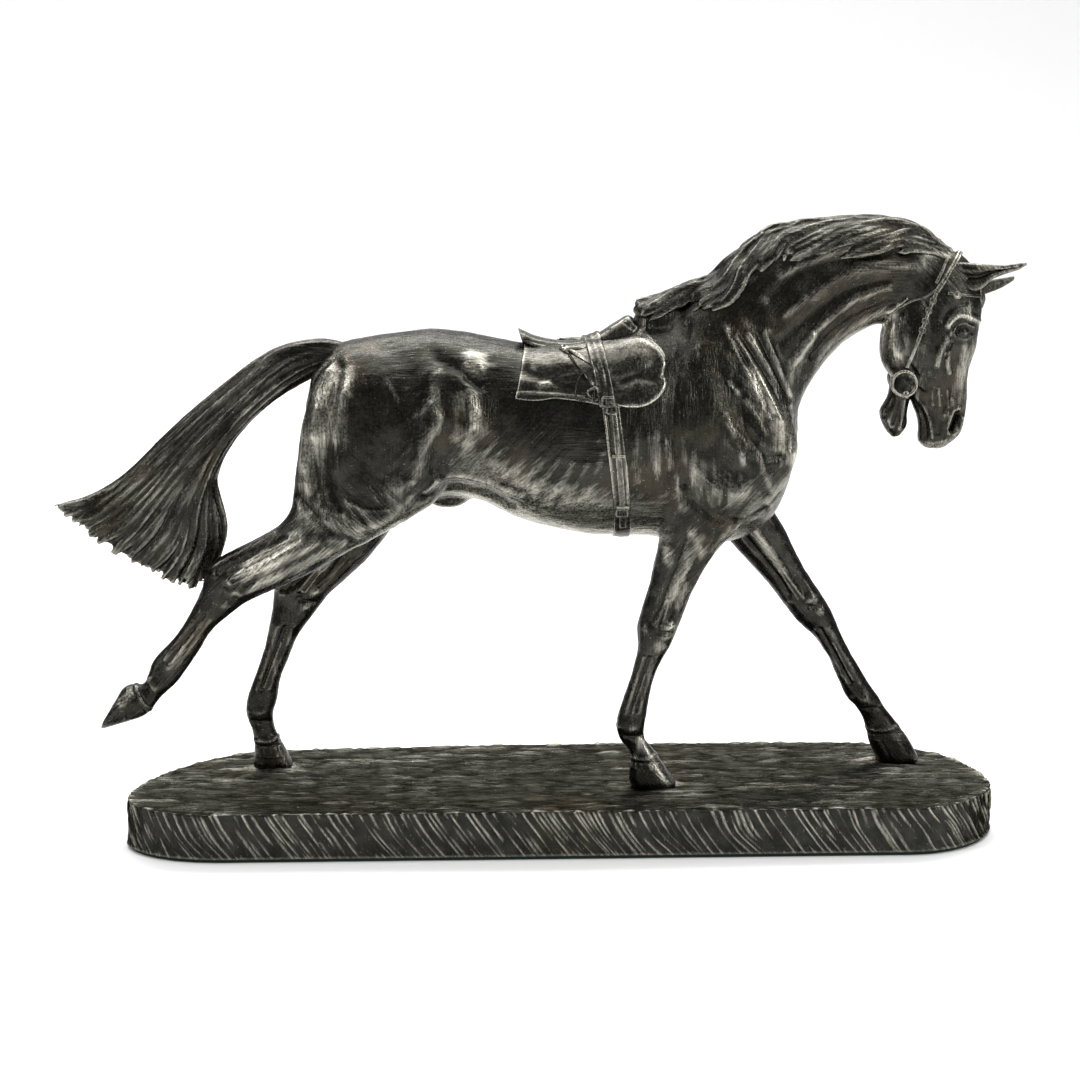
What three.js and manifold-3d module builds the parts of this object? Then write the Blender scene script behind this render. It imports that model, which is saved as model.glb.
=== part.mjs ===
// A bronze statuette of a saddled racehorse in an extended trot, on an oblong turf plinth.
// Built as a foundry assembles one: the figure is cast in sections, which are welded and chased together,
// the tack is fixed on, and three threaded studs hold the standing hooves to the hollow plinth.
// Millimetres. +X is the way the horse faces, +Y is its left, +Z is up. The origin is the centre of the
// underside of the baize pad. The horse's right side, at -Y, is the side meant to be seen.

import * as THREE from 'three';
import { mergeVertices } from 'three/addons/utils/BufferGeometryUtils.js';
import Module from 'manifold-3d';

const wasm = await Module();
wasm.setup();

// ---------------------------------------------------------------- driving dimensions

const PLINTH_LENGTH = 336;
const PLINTH_CENTRE = 0.8; // how far its middle lies ahead of the origin
const PLINTH_NEAR_EDGE = 55.5; // from the middle line to the edge on the horse's right
const PLINTH_FAR_EDGE = 56.5;
const PLINTH_CORNER = 38;
const PLINTH_TOP = 18.5;
const PLINTH_WALL = 5;
const PAD_THICKNESS = 1.2;
const GLUE_LINE = 0.1;

const JOINT_GAP = 0.3; // left between two cast sections, or between a section and what lies on it
const CASTING_WALL = 4;
const TOLERANCE = 0.04;

const LEATHER = 0.9; // thickness of each layer of tack
const STUD_RADIUS = 2;
const STUD_CLEARANCE = 0.3;
const STUD_REACH = 7; // how far a stud goes up into its hoof
const WASHER_THICKNESS = 0.8;
const WASHER_RADIUS = 4.5;
const NUT_THICKNESS = 3.2;
const NUT_RADIUS = 4;

// Where each standing hoof's stud goes through the plinth: [x, y].
const STUDS = {
  right_fore: [36, -18],
  left_fore: [138, 20],
  left_hind: [-112.5, 20],
};

// ---------------------------------------------------------------- materials

const bronze = new THREE.MeshStandardMaterial({ color: 0x3a352d, roughness: 0.38, metalness: 0.9 });
const darkBronze = new THREE.MeshStandardMaterial({ color: 0x2e2b26, roughness: 0.5, metalness: 0.85 });
const tackBronze = new THREE.MeshStandardMaterial({ color: 0x4a443a, roughness: 0.42, metalness: 0.9 });
const hairBronze = new THREE.MeshStandardMaterial({ color: 0x33302a, roughness: 0.45, metalness: 0.9 });
const steel = new THREE.MeshStandardMaterial({ color: 0x8a8d90, roughness: 0.35, metalness: 1 });
const baize = new THREE.MeshStandardMaterial({ color: 0x1d2b22, roughness: 0.95, metalness: 0 });

// ---------------------------------------------------------------- solids

const figure = new THREE.Group();

// A closed three.js geometry as a manifold-3d solid, turned to face out.
function solid(geometry) {
  const bare = new THREE.BufferGeometry();
  bare.setAttribute('position', geometry.getAttribute('position').clone());
  if (geometry.index) {
    bare.setIndex(geometry.index.clone());
  }
  const merged = mergeVertices(bare, 1e-4);
  const triVerts = new Uint32Array(merged.index.array);
  const vertProperties = new Float32Array(merged.getAttribute('position').array);
  const made = new wasm.Manifold(new wasm.Mesh({ numProp: 3, vertProperties, triVerts }));
  if (made.volume() > 0) {
    return made;
  }
  const turned = triVerts.slice().reverse();
  return new wasm.Manifold(new wasm.Mesh({ numProp: 3, vertProperties, triVerts: turned }));
}

// Adds a solid to the figure as a named mesh. Edges shorter than the tolerance are closed up, and crumbs
// left by cutting are dropped: the largest body is kept.
function piece(name, shape, material) {
  const bodies = shape.simplify(TOLERANCE).decompose().sort((a, b) => b.volume() - a.volume());
  const { vertProperties, triVerts, numProp } = bodies[0].getMesh();
  const positions = new Float32Array((vertProperties.length / numProp) * 3);
  for (let i = 0; i < positions.length / 3; i++) {
    for (let k = 0; k < 3; k++) {
      positions[3 * i + k] = vertProperties[numProp * i + k];
    }
  }
  const geometry = new THREE.BufferGeometry();
  geometry.setAttribute('position', new THREE.BufferAttribute(positions, 3));
  geometry.setIndex(new THREE.BufferAttribute(triVerts, 1));
  geometry.computeVertexNormals();
  const mesh = new THREE.Mesh(geometry, material);
  mesh.name = name;
  figure.add(mesh);
}

// A rib is [x1, z1, x2, z2, halfWidth, y]: two opposite points of an outline seen from the side, and how
// far the body reaches to each side of its middle plane there. A body is a smooth skin over its ribs.
// fullness is 2 for oval sections, and more for squarer ones.
function body(ribs, { sides = 14, perRib = 2, fullness = 2.2 } = {}) {
  const first = new THREE.CatmullRomCurve3(ribs.map((r) => new THREE.Vector3(r[0], r[5], r[1])));
  const second = new THREE.CatmullRomCurve3(ribs.map((r) => new THREE.Vector3(r[2], r[5], r[3])));
  const widths = new THREE.CatmullRomCurve3(ribs.map((r, i) => new THREE.Vector3(10 * i, r[4], 0)));
  const steps = perRib * (ribs.length - 1);
  const geometry = new THREE.CylinderGeometry(1, 1, 1, sides, steps);
  const position = geometry.getAttribute('position');
  const swell = (v) => Math.sign(v) * Math.abs(v) ** (2 / fullness);
  for (let i = 0; i < position.count; i++) {
    const t = THREE.MathUtils.clamp(position.getY(i) + 0.5, 0, 1);
    const a = first.getPoint(t);
    const b = second.getPoint(t);
    const middle = a.clone().add(b).multiplyScalar(0.5);
    const across = a.clone().sub(middle);
    middle.addScaledVector(across, swell(position.getX(i)));
    middle.y += widths.getPoint(t).y * swell(position.getZ(i));
    position.setXYZ(i, middle.x, middle.y, middle.z);
  }
  return solid(geometry);
}

// The same ribs grown by a distance, or shrunk by a negative one.
function grown(ribs, by) {
  return ribs.map(([x1, z1, x2, z2, halfWidth, y]) => {
    const reach = Math.hypot(x2 - x1, z2 - z1);
    const dx = ((x2 - x1) / reach) * by;
    const dz = ((z2 - z1) / reach) * by;
    return [x1 - dx, z1 - dz, x2 + dx, z2 + dz, halfWidth + by, y];
  });
}

// A slab cut from the side view: the outline is a list of [x, z], and it reaches from y = low to y = high.
function slab(outline, low = -60, high = 60) {
  const shape = new THREE.Shape(outline.map(([x, z]) => new THREE.Vector2(x, z)));
  const geometry = new THREE.ExtrudeGeometry(shape, { depth: high - low, bevelEnabled: false });
  geometry.rotateX(Math.PI / 2).translate(0, high, 0);
  return solid(geometry);
}

// The same, with a smooth closed outline through the points.
function roundedSlab(points, low, high, steps = 40) {
  const curve = new THREE.CatmullRomCurve3(points.map(([x, z]) => new THREE.Vector3(x, z, 0)), true);
  const outline = curve.getSpacedPoints(steps).slice(0, steps).map((p) => [p.x, p.y]);
  return slab(outline, low, high);
}

// A strip of even width along a line in the side view.
function strip(line, width, low, high) {
  const left = [];
  const right = [];
  line.forEach(([x, z], i) => {
    const [px, pz] = line[Math.max(0, i - 1)];
    const [nx, nz] = line[Math.min(line.length - 1, i + 1)];
    const along = Math.hypot(nx - px, nz - pz);
    const sideX = (-(nz - pz) / along) * (width / 2);
    const sideZ = ((nx - px) / along) * (width / 2);
    left.push([x + sideX, z + sideZ]);
    right.unshift([x - sideX, z - sideZ]);
  });
  return slab([...left, ...right], low, high);
}

// Everything on the far side of a line in the side view, seen from its first point towards its second:
// a big block whose edge is that line.
function halfSpace([x1, z1], [x2, z2]) {
  const far = 400;
  const along = new THREE.Vector2(x2 - x1, z2 - z1).normalize();
  const side = new THREE.Vector2(-along.y, along.x);
  const start = new THREE.Vector2(x1, z1).addScaledVector(along, -far);
  const end = new THREE.Vector2(x1, z1).addScaledVector(along, far);
  const backEnd = end.clone().addScaledVector(side, far);
  const backStart = start.clone().addScaledVector(side, far);
  return slab([start, end, backEnd, backStart].map((p) => [p.x, p.y]), -200, 200);
}

function ball([x, y, z], [rx, ry, rz], detail = 16) {
  const geometry = new THREE.SphereGeometry(1, detail, detail / 2);
  return solid(geometry.scale(rx, ry, rz).translate(x, y, z));
}

function uprightRod(x, y, low, high, radius, sides = 14) {
  const geometry = new THREE.CylinderGeometry(radius, radius, high - low, sides);
  return solid(geometry.rotateX(Math.PI / 2).translate(x, y, (low + high) / 2));
}

function crossRod(x, z, low, high, radius, sides = 12) {
  const geometry = new THREE.CylinderGeometry(radius, radius, high - low, sides);
  return solid(geometry.translate(x, (low + high) / 2, z));
}

function ring(x, y, z, radius, wire) {
  const geometry = new THREE.TorusGeometry(radius, wire, 6, 18);
  return solid(geometry.rotateX(Math.PI / 2).translate(x, y, z));
}

// A rectangular frame lying in the side view, such as a buckle.
function buckle(x, z, width, height, low, high, wire = 0.8) {
  const outer = [[-1, -1], [1, -1], [1, 1], [-1, 1]];
  const frameOf = (w, h) => outer.map(([i, j]) => [x + (i * w) / 2, z + (j * h) / 2]);
  const hole = slab(frameOf(width - 2 * wire, height - 2 * wire), low - 1, high + 1);
  return slab(frameOf(width, height), low, high).subtract(hole);
}

// ---------------------------------------------------------------- plinth, pad and fixings

// The plinth was shaped by hand: its ends are rounded unevenly, and its far edge draws in to the rear.
function plinthOutline() {
  const rear = PLINTH_CENTRE - PLINTH_LENGTH / 2;
  const front = PLINTH_CENTRE + PLINTH_LENGTH / 2;
  const near = -PLINTH_NEAR_EDGE;
  const shape = new THREE.Shape();
  shape.moveTo(rear + PLINTH_CORNER, near);
  shape.lineTo(front - PLINTH_CORNER, near);
  shape.bezierCurveTo(front - 15, near, front, near + 24, front, near + 42);
  shape.bezierCurveTo(front, near + 82, front - 20, PLINTH_FAR_EDGE - 2, front - 56, PLINTH_FAR_EDGE - 1);
  shape.lineTo(-20, PLINTH_FAR_EDGE);
  shape.lineTo(rear + 54, PLINTH_FAR_EDGE - 9);
  shape.bezierCurveTo(rear + 23, PLINTH_FAR_EDGE - 13, rear, near + 50, rear, near + 28);
  shape.bezierCurveTo(rear, near + 18, rear + 12, near, rear + PLINTH_CORNER, near);
  return shape.getPoints(7).slice(0, -1);
}

// The plinth's outline moved inwards, as a block from z = low to z = high.
function plinthBlock(inset, low, high) {
  const outline = plinthOutline();
  const count = outline.length;
  const moved = outline.map((point, i) => {
    const before = outline[(i + count - 1) % count];
    const after = outline[(i + 1) % count];
    const along = after.clone().sub(before).normalize();
    return new THREE.Vector2(point.x - along.y * inset, point.y + along.x * inset);
  });
  const shape = new THREE.Shape(moved);
  const geometry = new THREE.ExtrudeGeometry(shape, { depth: high - low, bevelEnabled: false });
  return solid(geometry.translate(0, 0, low));
}

const padInset = 1;
piece('baize_pad', plinthBlock(padInset, 0, PAD_THICKNESS), baize);

const plinthUnderside = PAD_THICKNESS + GLUE_LINE;
const plinthRoof = PLINTH_TOP - PLINTH_WALL; // the underside of the plinth's top wall
let plinth = plinthBlock(0, plinthUnderside, PLINTH_TOP);
plinth = plinth.subtract(plinthBlock(PLINTH_WALL, plinthUnderside - 1, plinthRoof));
const studHoles = {};
for (const [hoof, [x, y]] of Object.entries(STUDS)) {
  const bore = uprightRod(x, y, -1, PLINTH_TOP + STUD_REACH + 0.5, STUD_RADIUS + STUD_CLEARANCE);
  studHoles[hoof] = bore;
  plinth = plinth.subtract(bore);

  const studFoot = plinthRoof - WASHER_THICKNESS - NUT_THICKNESS - 2;
  piece(`stud_${hoof}`, uprightRod(x, y, studFoot, PLINTH_TOP + STUD_REACH, STUD_RADIUS), steel);

  const washerTop = plinthRoof - 0.05;
  const washerFoot = washerTop - WASHER_THICKNESS;
  const washer = uprightRod(x, y, washerFoot, washerTop, WASHER_RADIUS).subtract(bore);
  piece(`washer_${hoof}`, washer, steel);

  const nutTop = washerFoot - 0.05;
  const nut = uprightRod(x, y, nutTop - NUT_THICKNESS, nutTop, NUT_RADIUS, 6).subtract(bore);
  piece(`nut_${hoof}`, nut, steel);
}
piece('plinth', plinth, darkBronze);

// ---------------------------------------------------------------- the horse's outlines

// Upright ribs from the rump to the breast: back line first, then belly line.
const barrel = [
  [-96.3, 171, -98.3, 151, 8, 0],
  [-93, 182.5, -95.8, 139, 17, 0],
  [-86, 190, -88, 128, 24, 0],
  [-74, 193.2, -75, 124, 28.5, 0],
  [-60, 195.2, -60, 126, 30.5, 0],
  [-46, 196, -46, 131, 30.5, 0],
  [-32, 194.2, -31, 130, 30, 0],
  [-16, 191, -17, 123.5, 31.5, 0],
  [0, 188.4, -1, 118.8, 33, 0],
  [16, 189, 14, 116.2, 33.5, 0],
  [32, 196, 32, 115.6, 32, 0],
  [48, 199, 50, 112.5, 29.5, 0],
  [64, 199, 66, 112.5, 27.5, 0],
  [78, 190, 78.5, 118, 24.5, 0],
  [87, 176, 86, 127.5, 20, 0],
  [91, 162, 90.3, 139, 12, 0],
];

// Each haunch, from the hip down: rump edge first, then flank edge. The stifle is the lowest front point.
const haunchHeights = [
  [-84, 188, -52, 190, 11, 13],
  [-93.2, 176, -45, 177, 14.5, 15.5],
  [-98, 162, -41, 162, 15, 17.5],
  [-100.4, 148, -41.5, 146, 14, 19],
  [-102.2, 136, -47, 133.5, 12.5, 20.5],
];
const rightHaunch = [
  ...haunchHeights.map(([x1, z1, x2, z2, w, y]) => [x1, z1, x2, z2, w, -y]),
  [-104, 127.5, -59, 125, 11, -21.5],
  [-110, 121.5, -74, 117.5, 10, -22],
  [-116.5, 118.3, -91, 107.8, 8.6, -22],
];
const leftHaunch = [
  ...haunchHeights,
  [-102, 125, -57.5, 124.5, 11, 21],
  [-102, 114, -65, 115, 9.6, 20.5],
  [-103, 106, -73.5, 105, 8.4, 20.5],
];

// Each shoulder, from the withers down: rear edge first, then front edge.
const shoulderHeights = [
  [44, 190, 66, 194, 8, 12],
  [41, 176, 80, 180, 11, 14],
  [39.5, 160, 89, 162, 12, 15.5],
  [38.5, 146, 90.3, 146, 11.5, 16.5],
];
const rightShoulder = [
  ...shoulderHeights.map(([x1, z1, x2, z2, w, y]) => [x1, z1, x2, z2, w, -y]),
  [37, 133, 80, 132, 10.8, -17.5],
  [38.2, 121, 68, 120.5, 9.4, -18],
  [37, 112, 59.5, 112, 8.2, -18],
];
const leftShoulder = [
  ...shoulderHeights,
  [44, 133, 87.2, 132, 10.8, 17.5],
  [57, 121, 86.2, 122.4, 9.6, 18.5],
  [66.5, 112, 90.7, 114.4, 8.6, 19.5],
];

// The neck, from its root to the poll: crest first, then throat.
const neckRoot = [
  [23, 189, 84, 122, 19.5, 0],
  [44, 201.5, 92.5, 152, 22.5, 0],
];
const neck = [
  ...neckRoot,
  [58, 213, 93.3, 165, 18.5, 0],
  [72, 224.5, 97.5, 174.5, 15.5, 0],
  [87, 232.5, 103.5, 183, 13.2, 0],
  [104, 235.5, 111.5, 191, 11.6, 0],
  [121, 235.5, 120.5, 196.3, 10.6, 0],
  [137, 231.5, 129.5, 198, 10, 0],
  [150, 225, 137, 197, 9.4, 0],
];

// The head, from the poll to the upper lip: face first, then jaw and roof of the mouth.
const skull = [
  [148, 227, 132.5, 204, 8.4, 0],
  [156.5, 223.5, 127, 197.5, 10.2, 0],
  [162.8, 215, 124.8, 190.5, 11.2, 0],
  [164.2, 205, 125.2, 183.5, 11.8, 0],
  [163, 195.5, 128.6, 177.5, 11.4, 0],
  [161.6, 186.5, 134, 172, 9.4, 0],
  [159.2, 178, 137.3, 167.2, 7.6, 0],
  [159, 169.5, 139, 162, 6.7, 0],
  [158.7, 162, 140.1, 156.8, 6.8, 0],
  [157, 154.6, 139.9, 151.9, 6.3, 0],
  [150.8, 148.8, 143, 148.4, 3.6, 0],
];
const jaw = [
  [139, 173.5, 129.5, 180, 6.6, 0],
  [137, 168.5, 128, 169.3, 5.6, 0],
  [135.8, 163, 125, 163, 5.2, 0],
  [135.6, 157.6, 127, 156.8, 4.4, 0],
  [133, 153.8, 130, 153.2, 2.2, 0],
];

// Legs, from where they are welded on down to the sole: rear edge first, then front edge.
const rightForeleg = [
  [38.2, 121, 68, 120.5, 9.4, -18],
  [36.4, 110, 59, 110, 8, -18],
  [34, 98, 51.6, 98, 6.6, -18],
  [30.9, 88, 47.9, 88.5, 5.8, -18],
  [29.4, 81.5, 45.6, 82, 6.4, -18],
  [30, 75, 42.5, 75, 5.8, -18],
  [28.2, 67, 38, 67, 4.4, -18],
  [25.6, 58, 35.3, 58, 3.8, -18],
  [22.8, 50, 33.7, 50, 4, -18],
  [21.4, 43.5, 33, 44, 4.9, -18],
  [22.8, 38, 32.8, 38.6, 4.2, -18],
  [27.2, 32, 36.6, 33, 4.3, -18],
  [26.8, 27, 40.6, 27, 6.2, -18],
  [26.6, 18.8, 46, 18.8, 7.4, -18],
];
const leftForeleg = [
  [57, 121, 86.2, 122.4, 9.6, 18.5],
  [66.5, 112, 90.7, 114.4, 8.4, 19.5],
  [76, 101.5, 96.4, 103, 7, 20],
  [84.5, 92, 102.6, 92.5, 6, 20],
  [91, 84, 108, 84.5, 6.2, 20],
  [96, 77, 111.6, 78, 6, 20],
  [103.5, 70, 114.5, 71, 4.6, 20],
  [109, 62, 119, 62.5, 3.9, 20],
  [113.2, 53, 124.3, 53.5, 4, 20],
  [116.6, 45.5, 129.2, 46.5, 4.8, 20],
  [121.8, 39.5, 132.8, 40.5, 4.4, 20],
  [124.6, 33.5, 137.2, 35, 4.6, 20],
  [125.6, 28.5, 141.6, 29, 6.4, 20],
  [129.4, 18.8, 147.4, 18.8, 7.4, 20],
];
const rightHindleg = [
  [-110, 121.5, -74, 117.5, 10, -22],
  [-116.5, 118.3, -91, 107.8, 8.6, -22],
  [-125, 114.3, -106.5, 100, 6.8, -22],
  [-133.4, 109.2, -119.5, 94.4, 6.2, -22],
  [-137.4, 99.5, -127.6, 88.6, 5.8, -22],
  [-142, 90, -134.2, 82.4, 4.6, -22],
  [-149.3, 79.6, -140.8, 72, 4, -22],
  [-156.9, 71, -147.5, 62.6, 4.3, -22],
  [-159, 65, -152.6, 58.2, 4.8, -22],
  [-160.8, 62, -155.4, 54.8, 4.3, -22],
  [-165, 62.4, -158.8, 50.8, 5.8, -22],
  [-168.6, 60.6, -178, 44.4, 7.2, -22],
];
const leftHindleg = [
  [-102, 114, -65, 115, 9.6, 20.5],
  [-104.5, 105, -73.1, 104.5, 8.2, 20.5],
  [-110, 97, -82.2, 96, 6.8, 20.5],
  [-112, 89, -90.6, 88, 6, 20.5],
  [-113.4, 80, -97.2, 79.5, 5.4, 20],
  [-115, 72, -102.8, 72, 4.5, 20],
  [-117.2, 64, -106, 64, 4.1, 20],
  [-120.4, 55, -109.6, 55, 4, 20],
  [-123.4, 46, -111.2, 46.5, 4.6, 20],
  [-123.6, 40.5, -112.6, 41, 4.9, 20],
  [-121.4, 34, -112.2, 35, 4.2, 20],
  [-120.4, 28, -109.2, 29, 5.8, 20],
  [-121.4, 18.8, -104.2, 18.8, 7.4, 20],
];

// ---------------------------------------------------------------- cast sections of the horse

// Where sections meet, as a line in the side view. Each section stops half the joint gap short of it.
const neckJoint = [[44, 201.5], [92.5, 152]];
const pollJoint = [[150, 226.5], [121.5, 197]];
const rightForeJoint = [[20, 116.5], [90, 116.5]];
const leftForeJoint = [[62, 111], [98, 118]];
const rightHindJoint = [[-118, 128], [-84, 100]];
const leftHindJoint = [[-130, 109.5], [-40, 109.5]];

function shifted([[x1, z1], [x2, z2]], by) {
  const along = Math.hypot(x2 - x1, z2 - z1);
  const dx = (-(z2 - z1) / along) * by;
  const dz = ((x2 - x1) / along) * by;
  return [[x1 + dx, z1 + dz], [x2 + dx, z2 + dz]];
}

const above = (joint) => halfSpace(...shifted(joint, JOINT_GAP / 2));
const below = (joint) => halfSpace(...shifted(joint, -JOINT_GAP / 2).reverse());

const barrelSolid = body(barrel, { sides: 24, perRib: 1 });
const neckSolid = body(neck);
const headSolid = body(skull, { sides: 18, fullness: 2.3 });

// The limbs' roots, trimmed where each leg is welded on, before they join the barrel.
const haunches = [
  body(rightHaunch, { fullness: 2.4 }).intersect(above(rightHindJoint)),
  body(leftHaunch, { fullness: 2.4 }).intersect(above(leftHindJoint)),
];
const shoulders = [
  body(rightShoulder, { fullness: 2.4 }).intersect(above(rightForeJoint)),
  body(leftShoulder, { fullness: 2.4 }).intersect(above(leftForeJoint)),
];
const sheath = ball([-42, 0, 134.5], [11, 6, 6], 14);
const torsoHollow = body(grown(barrel.slice(1, -1), -CASTING_WALL), { sides: 20, perRib: 1 })
  .add(body(grown(neck.slice(0, 3), -CASTING_WALL), { sides: 16, perRib: 1 }));
let torso = barrelSolid;
for (const part of [...haunches, ...shoulders, sheath]) {
  torso = torso.add(part);
}
torso = torso.add(neckSolid).intersect(below(neckJoint)).subtract(torsoHollow);

const neckHollow = body(grown(neck.slice(0, 8), -CASTING_WALL), { sides: 16, perRib: 1 });
const neckSection = neckSolid
  .intersect(above(neckJoint))
  .intersect(below(pollJoint))
  .subtract(neckHollow);

const bitX = 134.2;
const bitZ = 170.6;
const bitChannel = crossRod(bitX, bitZ, -30, 30, 1.4);
const mouthGap = slab([[138.6, 170], [143, 145], [134.2, 145], [136.4, 168.5]], -30, 30);
let head = headSolid.add(neckSolid).intersect(above(pollJoint)).subtract(bitChannel).subtract(mouthGap);
const jawSlot = body(grown(jaw, JOINT_GAP), { sides: 10, perRib: 1 });
head = head.subtract(jawSlot);
const lowerJaw = body(jaw, { sides: 10, perRib: 1 }).subtract(bitChannel);

piece('torso', torso, bronze);
piece('neck', neckSection, bronze);
piece('lower_jaw', lowerJaw, bronze);

// An ear is a long leaf, hollowed down its front.
function ear(side, root, tip) {
  const [rootX, rootZ] = root;
  const [tipX, tipZ] = tip;
  const at = (share, thick, width, out) => {
    const x = rootX + (tipX - rootX) * share;
    const z = rootZ + (tipZ - rootZ) * share;
    return [x - 0.25 * thick, z + thick, x + 0.25 * thick, z - thick, width, side * out];
  };
  const leaf = [
    at(0, 3.2, 2.4, 5.6), at(0.25, 4.3, 3, 6.2), at(0.5, 3.9, 2.7, 6.8), at(0.78, 2.3, 1.7, 7.4), at(1, 0.6, 0.6, 7.9),
  ];
  return body(leaf, { sides: 12, perRib: 2, fullness: 2 });
}
const rightEar = ear(-1, [156.5, 217.5], [178.8, 221]);
const leftEar = ear(1, [158.5, 210.5], [178.2, 214.2]);
const headRoom = body(grown(skull, JOINT_GAP), { sides: 18, fullness: 2.3 });
piece('right_ear', rightEar.subtract(headRoom), bronze);
piece('left_ear', leftEar.subtract(headRoom), bronze);
piece('head', head, bronze);

const barrelRoom = body(grown(barrel, JOINT_GAP), { sides: 24, perRib: 1 });
const LEG = { sides: 12, perRib: 2 };
const legs = {
  right_foreleg: body(rightForeleg, LEG).intersect(below(rightForeJoint)).subtract(studHoles.right_fore),
  left_foreleg: body(leftForeleg, LEG).intersect(below(leftForeJoint)).subtract(studHoles.left_fore),
  right_hindleg: body(rightHindleg, LEG).intersect(below(rightHindJoint)),
  left_hindleg: body(leftHindleg, LEG).intersect(below(leftHindJoint)).subtract(studHoles.left_hind),
};
for (const [name, leg] of Object.entries(legs)) {
  piece(name, leg.subtract(barrelRoom), bronze);
}

// ---------------------------------------------------------------- hair

// The mane stands on the crest and blows back: outer edge first, then its root inside the neck.
const maneRibs = [
  [29.5, 202, 34, 199, 1.6, 0],
  [37, 207, 42, 199, 3.2, 0],
  [45, 212.4, 52, 204, 4, 0],
  [57, 215.8, 63, 209, 4.6, 0],
  [66, 223.4, 73, 216, 5, 0],
  [76.5, 232, 81, 222, 5.2, 0],
  [89.5, 237.6, 93, 226, 5.2, 0],
  [104, 239.2, 105, 228, 5, 0],
  [121, 239.9, 119, 228, 4.8, 0],
  [136.4, 237.8, 131, 225, 4.4, 0],
  [146.6, 231, 141, 220, 4, 0],
  [152.6, 227, 149, 220, 3.2, 0],
];
const neckRoom = body(grown(neck, JOINT_GAP));
const mane = body(maneRibs, { sides: 10, perRib: 1 })
  .subtract(neckRoom)
  .subtract(barrelRoom)
  .subtract(headRoom);
piece('mane', mane, hairBronze);

// The tail streams out and fans: upper edge first, then lower edge.
const tailRibs = [
  [-82, 192.4, -90, 177.5, 5.6, 0],
  [-96, 192.4, -97.3, 175.2, 6.4, 0],
  [-110, 189, -105.5, 170.7, 6.8, -0.5],
  [-122, 182.4, -114, 165.5, 7.2, -1],
  [-134, 172.3, -121, 157, 7.6, -2],
  [-146, 161.6, -127.2, 147, 8, -3],
  [-158, 151, -130.2, 136, 8.2, -4],
  [-169.5, 140.4, -129.6, 124, 8, -5],
  [-182, 131.8, -128, 113, 7.2, -5.5],
  [-195, 129.2, -129.5, 104, 4.8, -6],
  [-186, 123.6, -133, 97.5, 4, -6],
  [-174, 114.5, -136.8, 94.2, 3.2, -6],
  [-165, 105.2, -142, 93.6, 1.6, -6],
];
const torsoRoom = barrelRoom.add(body(grown(rightHaunch, JOINT_GAP), { fullness: 2.4 }));
const allTorsoRoom = torsoRoom.add(body(grown(leftHaunch, JOINT_GAP), { fullness: 2.4 }));
const tail = body(tailRibs, { sides: 16, perRib: 2 })
  .subtract(allTorsoRoom)
  .subtract(body(grown(rightHindleg, JOINT_GAP)));
piece('tail', tail, hairBronze);

const forelockRibs = [
  [159.5, 222, 158, 217, 1.8, 0],
  [165, 215.6, 162.4, 213.4, 2.6, 0],
  [166.4, 208, 163.4, 207, 2.4, 0],
  [165.4, 201.8, 163.6, 201.4, 1, 0],
];
const earRoom = body(grown([[156.5, 222, 156.5, 213, 3, -6], [179, 222, 179, 218, 2, -8]], JOINT_GAP));
const forelock = body(forelockRibs, { sides: 10, perRib: 2 })
  .subtract(headRoom)
  .subtract(earRoom);
piece('forelock', forelock, hairBronze);

// ---------------------------------------------------------------- saddle

// Layers of tack lie on the barrel one over another, each with the joint gap under it.
const layerTop = (n) => n * (LEATHER + JOINT_GAP);
const layerShell = (n, ribs = barrel) => {
  const outer = body(grown(ribs, layerTop(n)), { sides: 24, perRib: 1 });
  return outer.subtract(body(grown(ribs, layerTop(n) - LEATHER), { sides: 24, perRib: 1 }));
};
const shoulderRoom = body(grown(rightShoulder, 0.6), { fullness: 2.4 })
  .add(body(grown(leftShoulder, 0.6), { fullness: 2.4 }));

const clothOutline = [
  [-15, 205], [-15.5, 190], [-17, 182], [-19, 173.5], [-10, 172], [2, 172.4], [12, 171], [22, 168.5],
  [31, 169.5], [37, 174.5], [40.5, 183], [38, 192], [33, 199], [29, 205],
];
const cloth = slab(clothOutline).intersect(layerShell(1)).subtract(shoulderRoom);
piece('saddle_cloth', cloth.subtract(neckRoom), tackBronze);

const flapPoints = [[-1, 188], [5, 181.5], [11, 176.8], [15, 172.5], [22, 170], [30, 171.5], [36, 177], [38, 184],
  [34, 190.5], [26, 191.5], [12, 189.5]];
const rightFlapSlab = roundedSlab(flapPoints, -60, -9);
const flapShell = layerShell(2).subtract(shoulderRoom).subtract(neckRoom);
piece('right_saddle_flap', rightFlapSlab.intersect(flapShell), tackBronze);
const leftFlapSlab = roundedSlab(flapPoints, 9, 60);
piece('left_saddle_flap', leftFlapSlab.intersect(flapShell), tackBronze);

// The seat, from cantle to pommel: top first, then underside.
const seatRibs = [
  [-15.6, 195.4, -14, 190.4, 8.2, 0],
  [-10.5, 193.8, -9.5, 188, 8.8, 0],
  [-3, 191.9, -2, 186, 8, 0],
  [6, 191.4, 7, 186, 7.4, 0],
  [14, 193.6, 15, 186, 7.2, 0],
  [22, 197.4, 23, 188, 7, 0],
  [27.6, 199.6, 30, 192, 6.2, 0],
  [30.4, 198.8, 32, 194, 4.6, 0],
];
const seatBed = body(grown(barrel, layerTop(1) + JOINT_GAP), { sides: 24, perRib: 1 });
const seat = body(seatRibs, { sides: 20, perRib: 2, fullness: 2.6 }).subtract(seatBed).subtract(neckRoom);
const seatTrim = slab(flapPoints.map(([x, z]) => [x, z]), -60, 60).intersect(
  body(grown(barrel, layerTop(2) + JOINT_GAP), { sides: 24, perRib: 1 })
    .subtract(slab([[-60, 120], [60, 120], [60, 210], [-60, 210]], -8.8, 8.8)),
);
piece('saddle_seat', seat.subtract(seatTrim), tackBronze);

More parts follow.
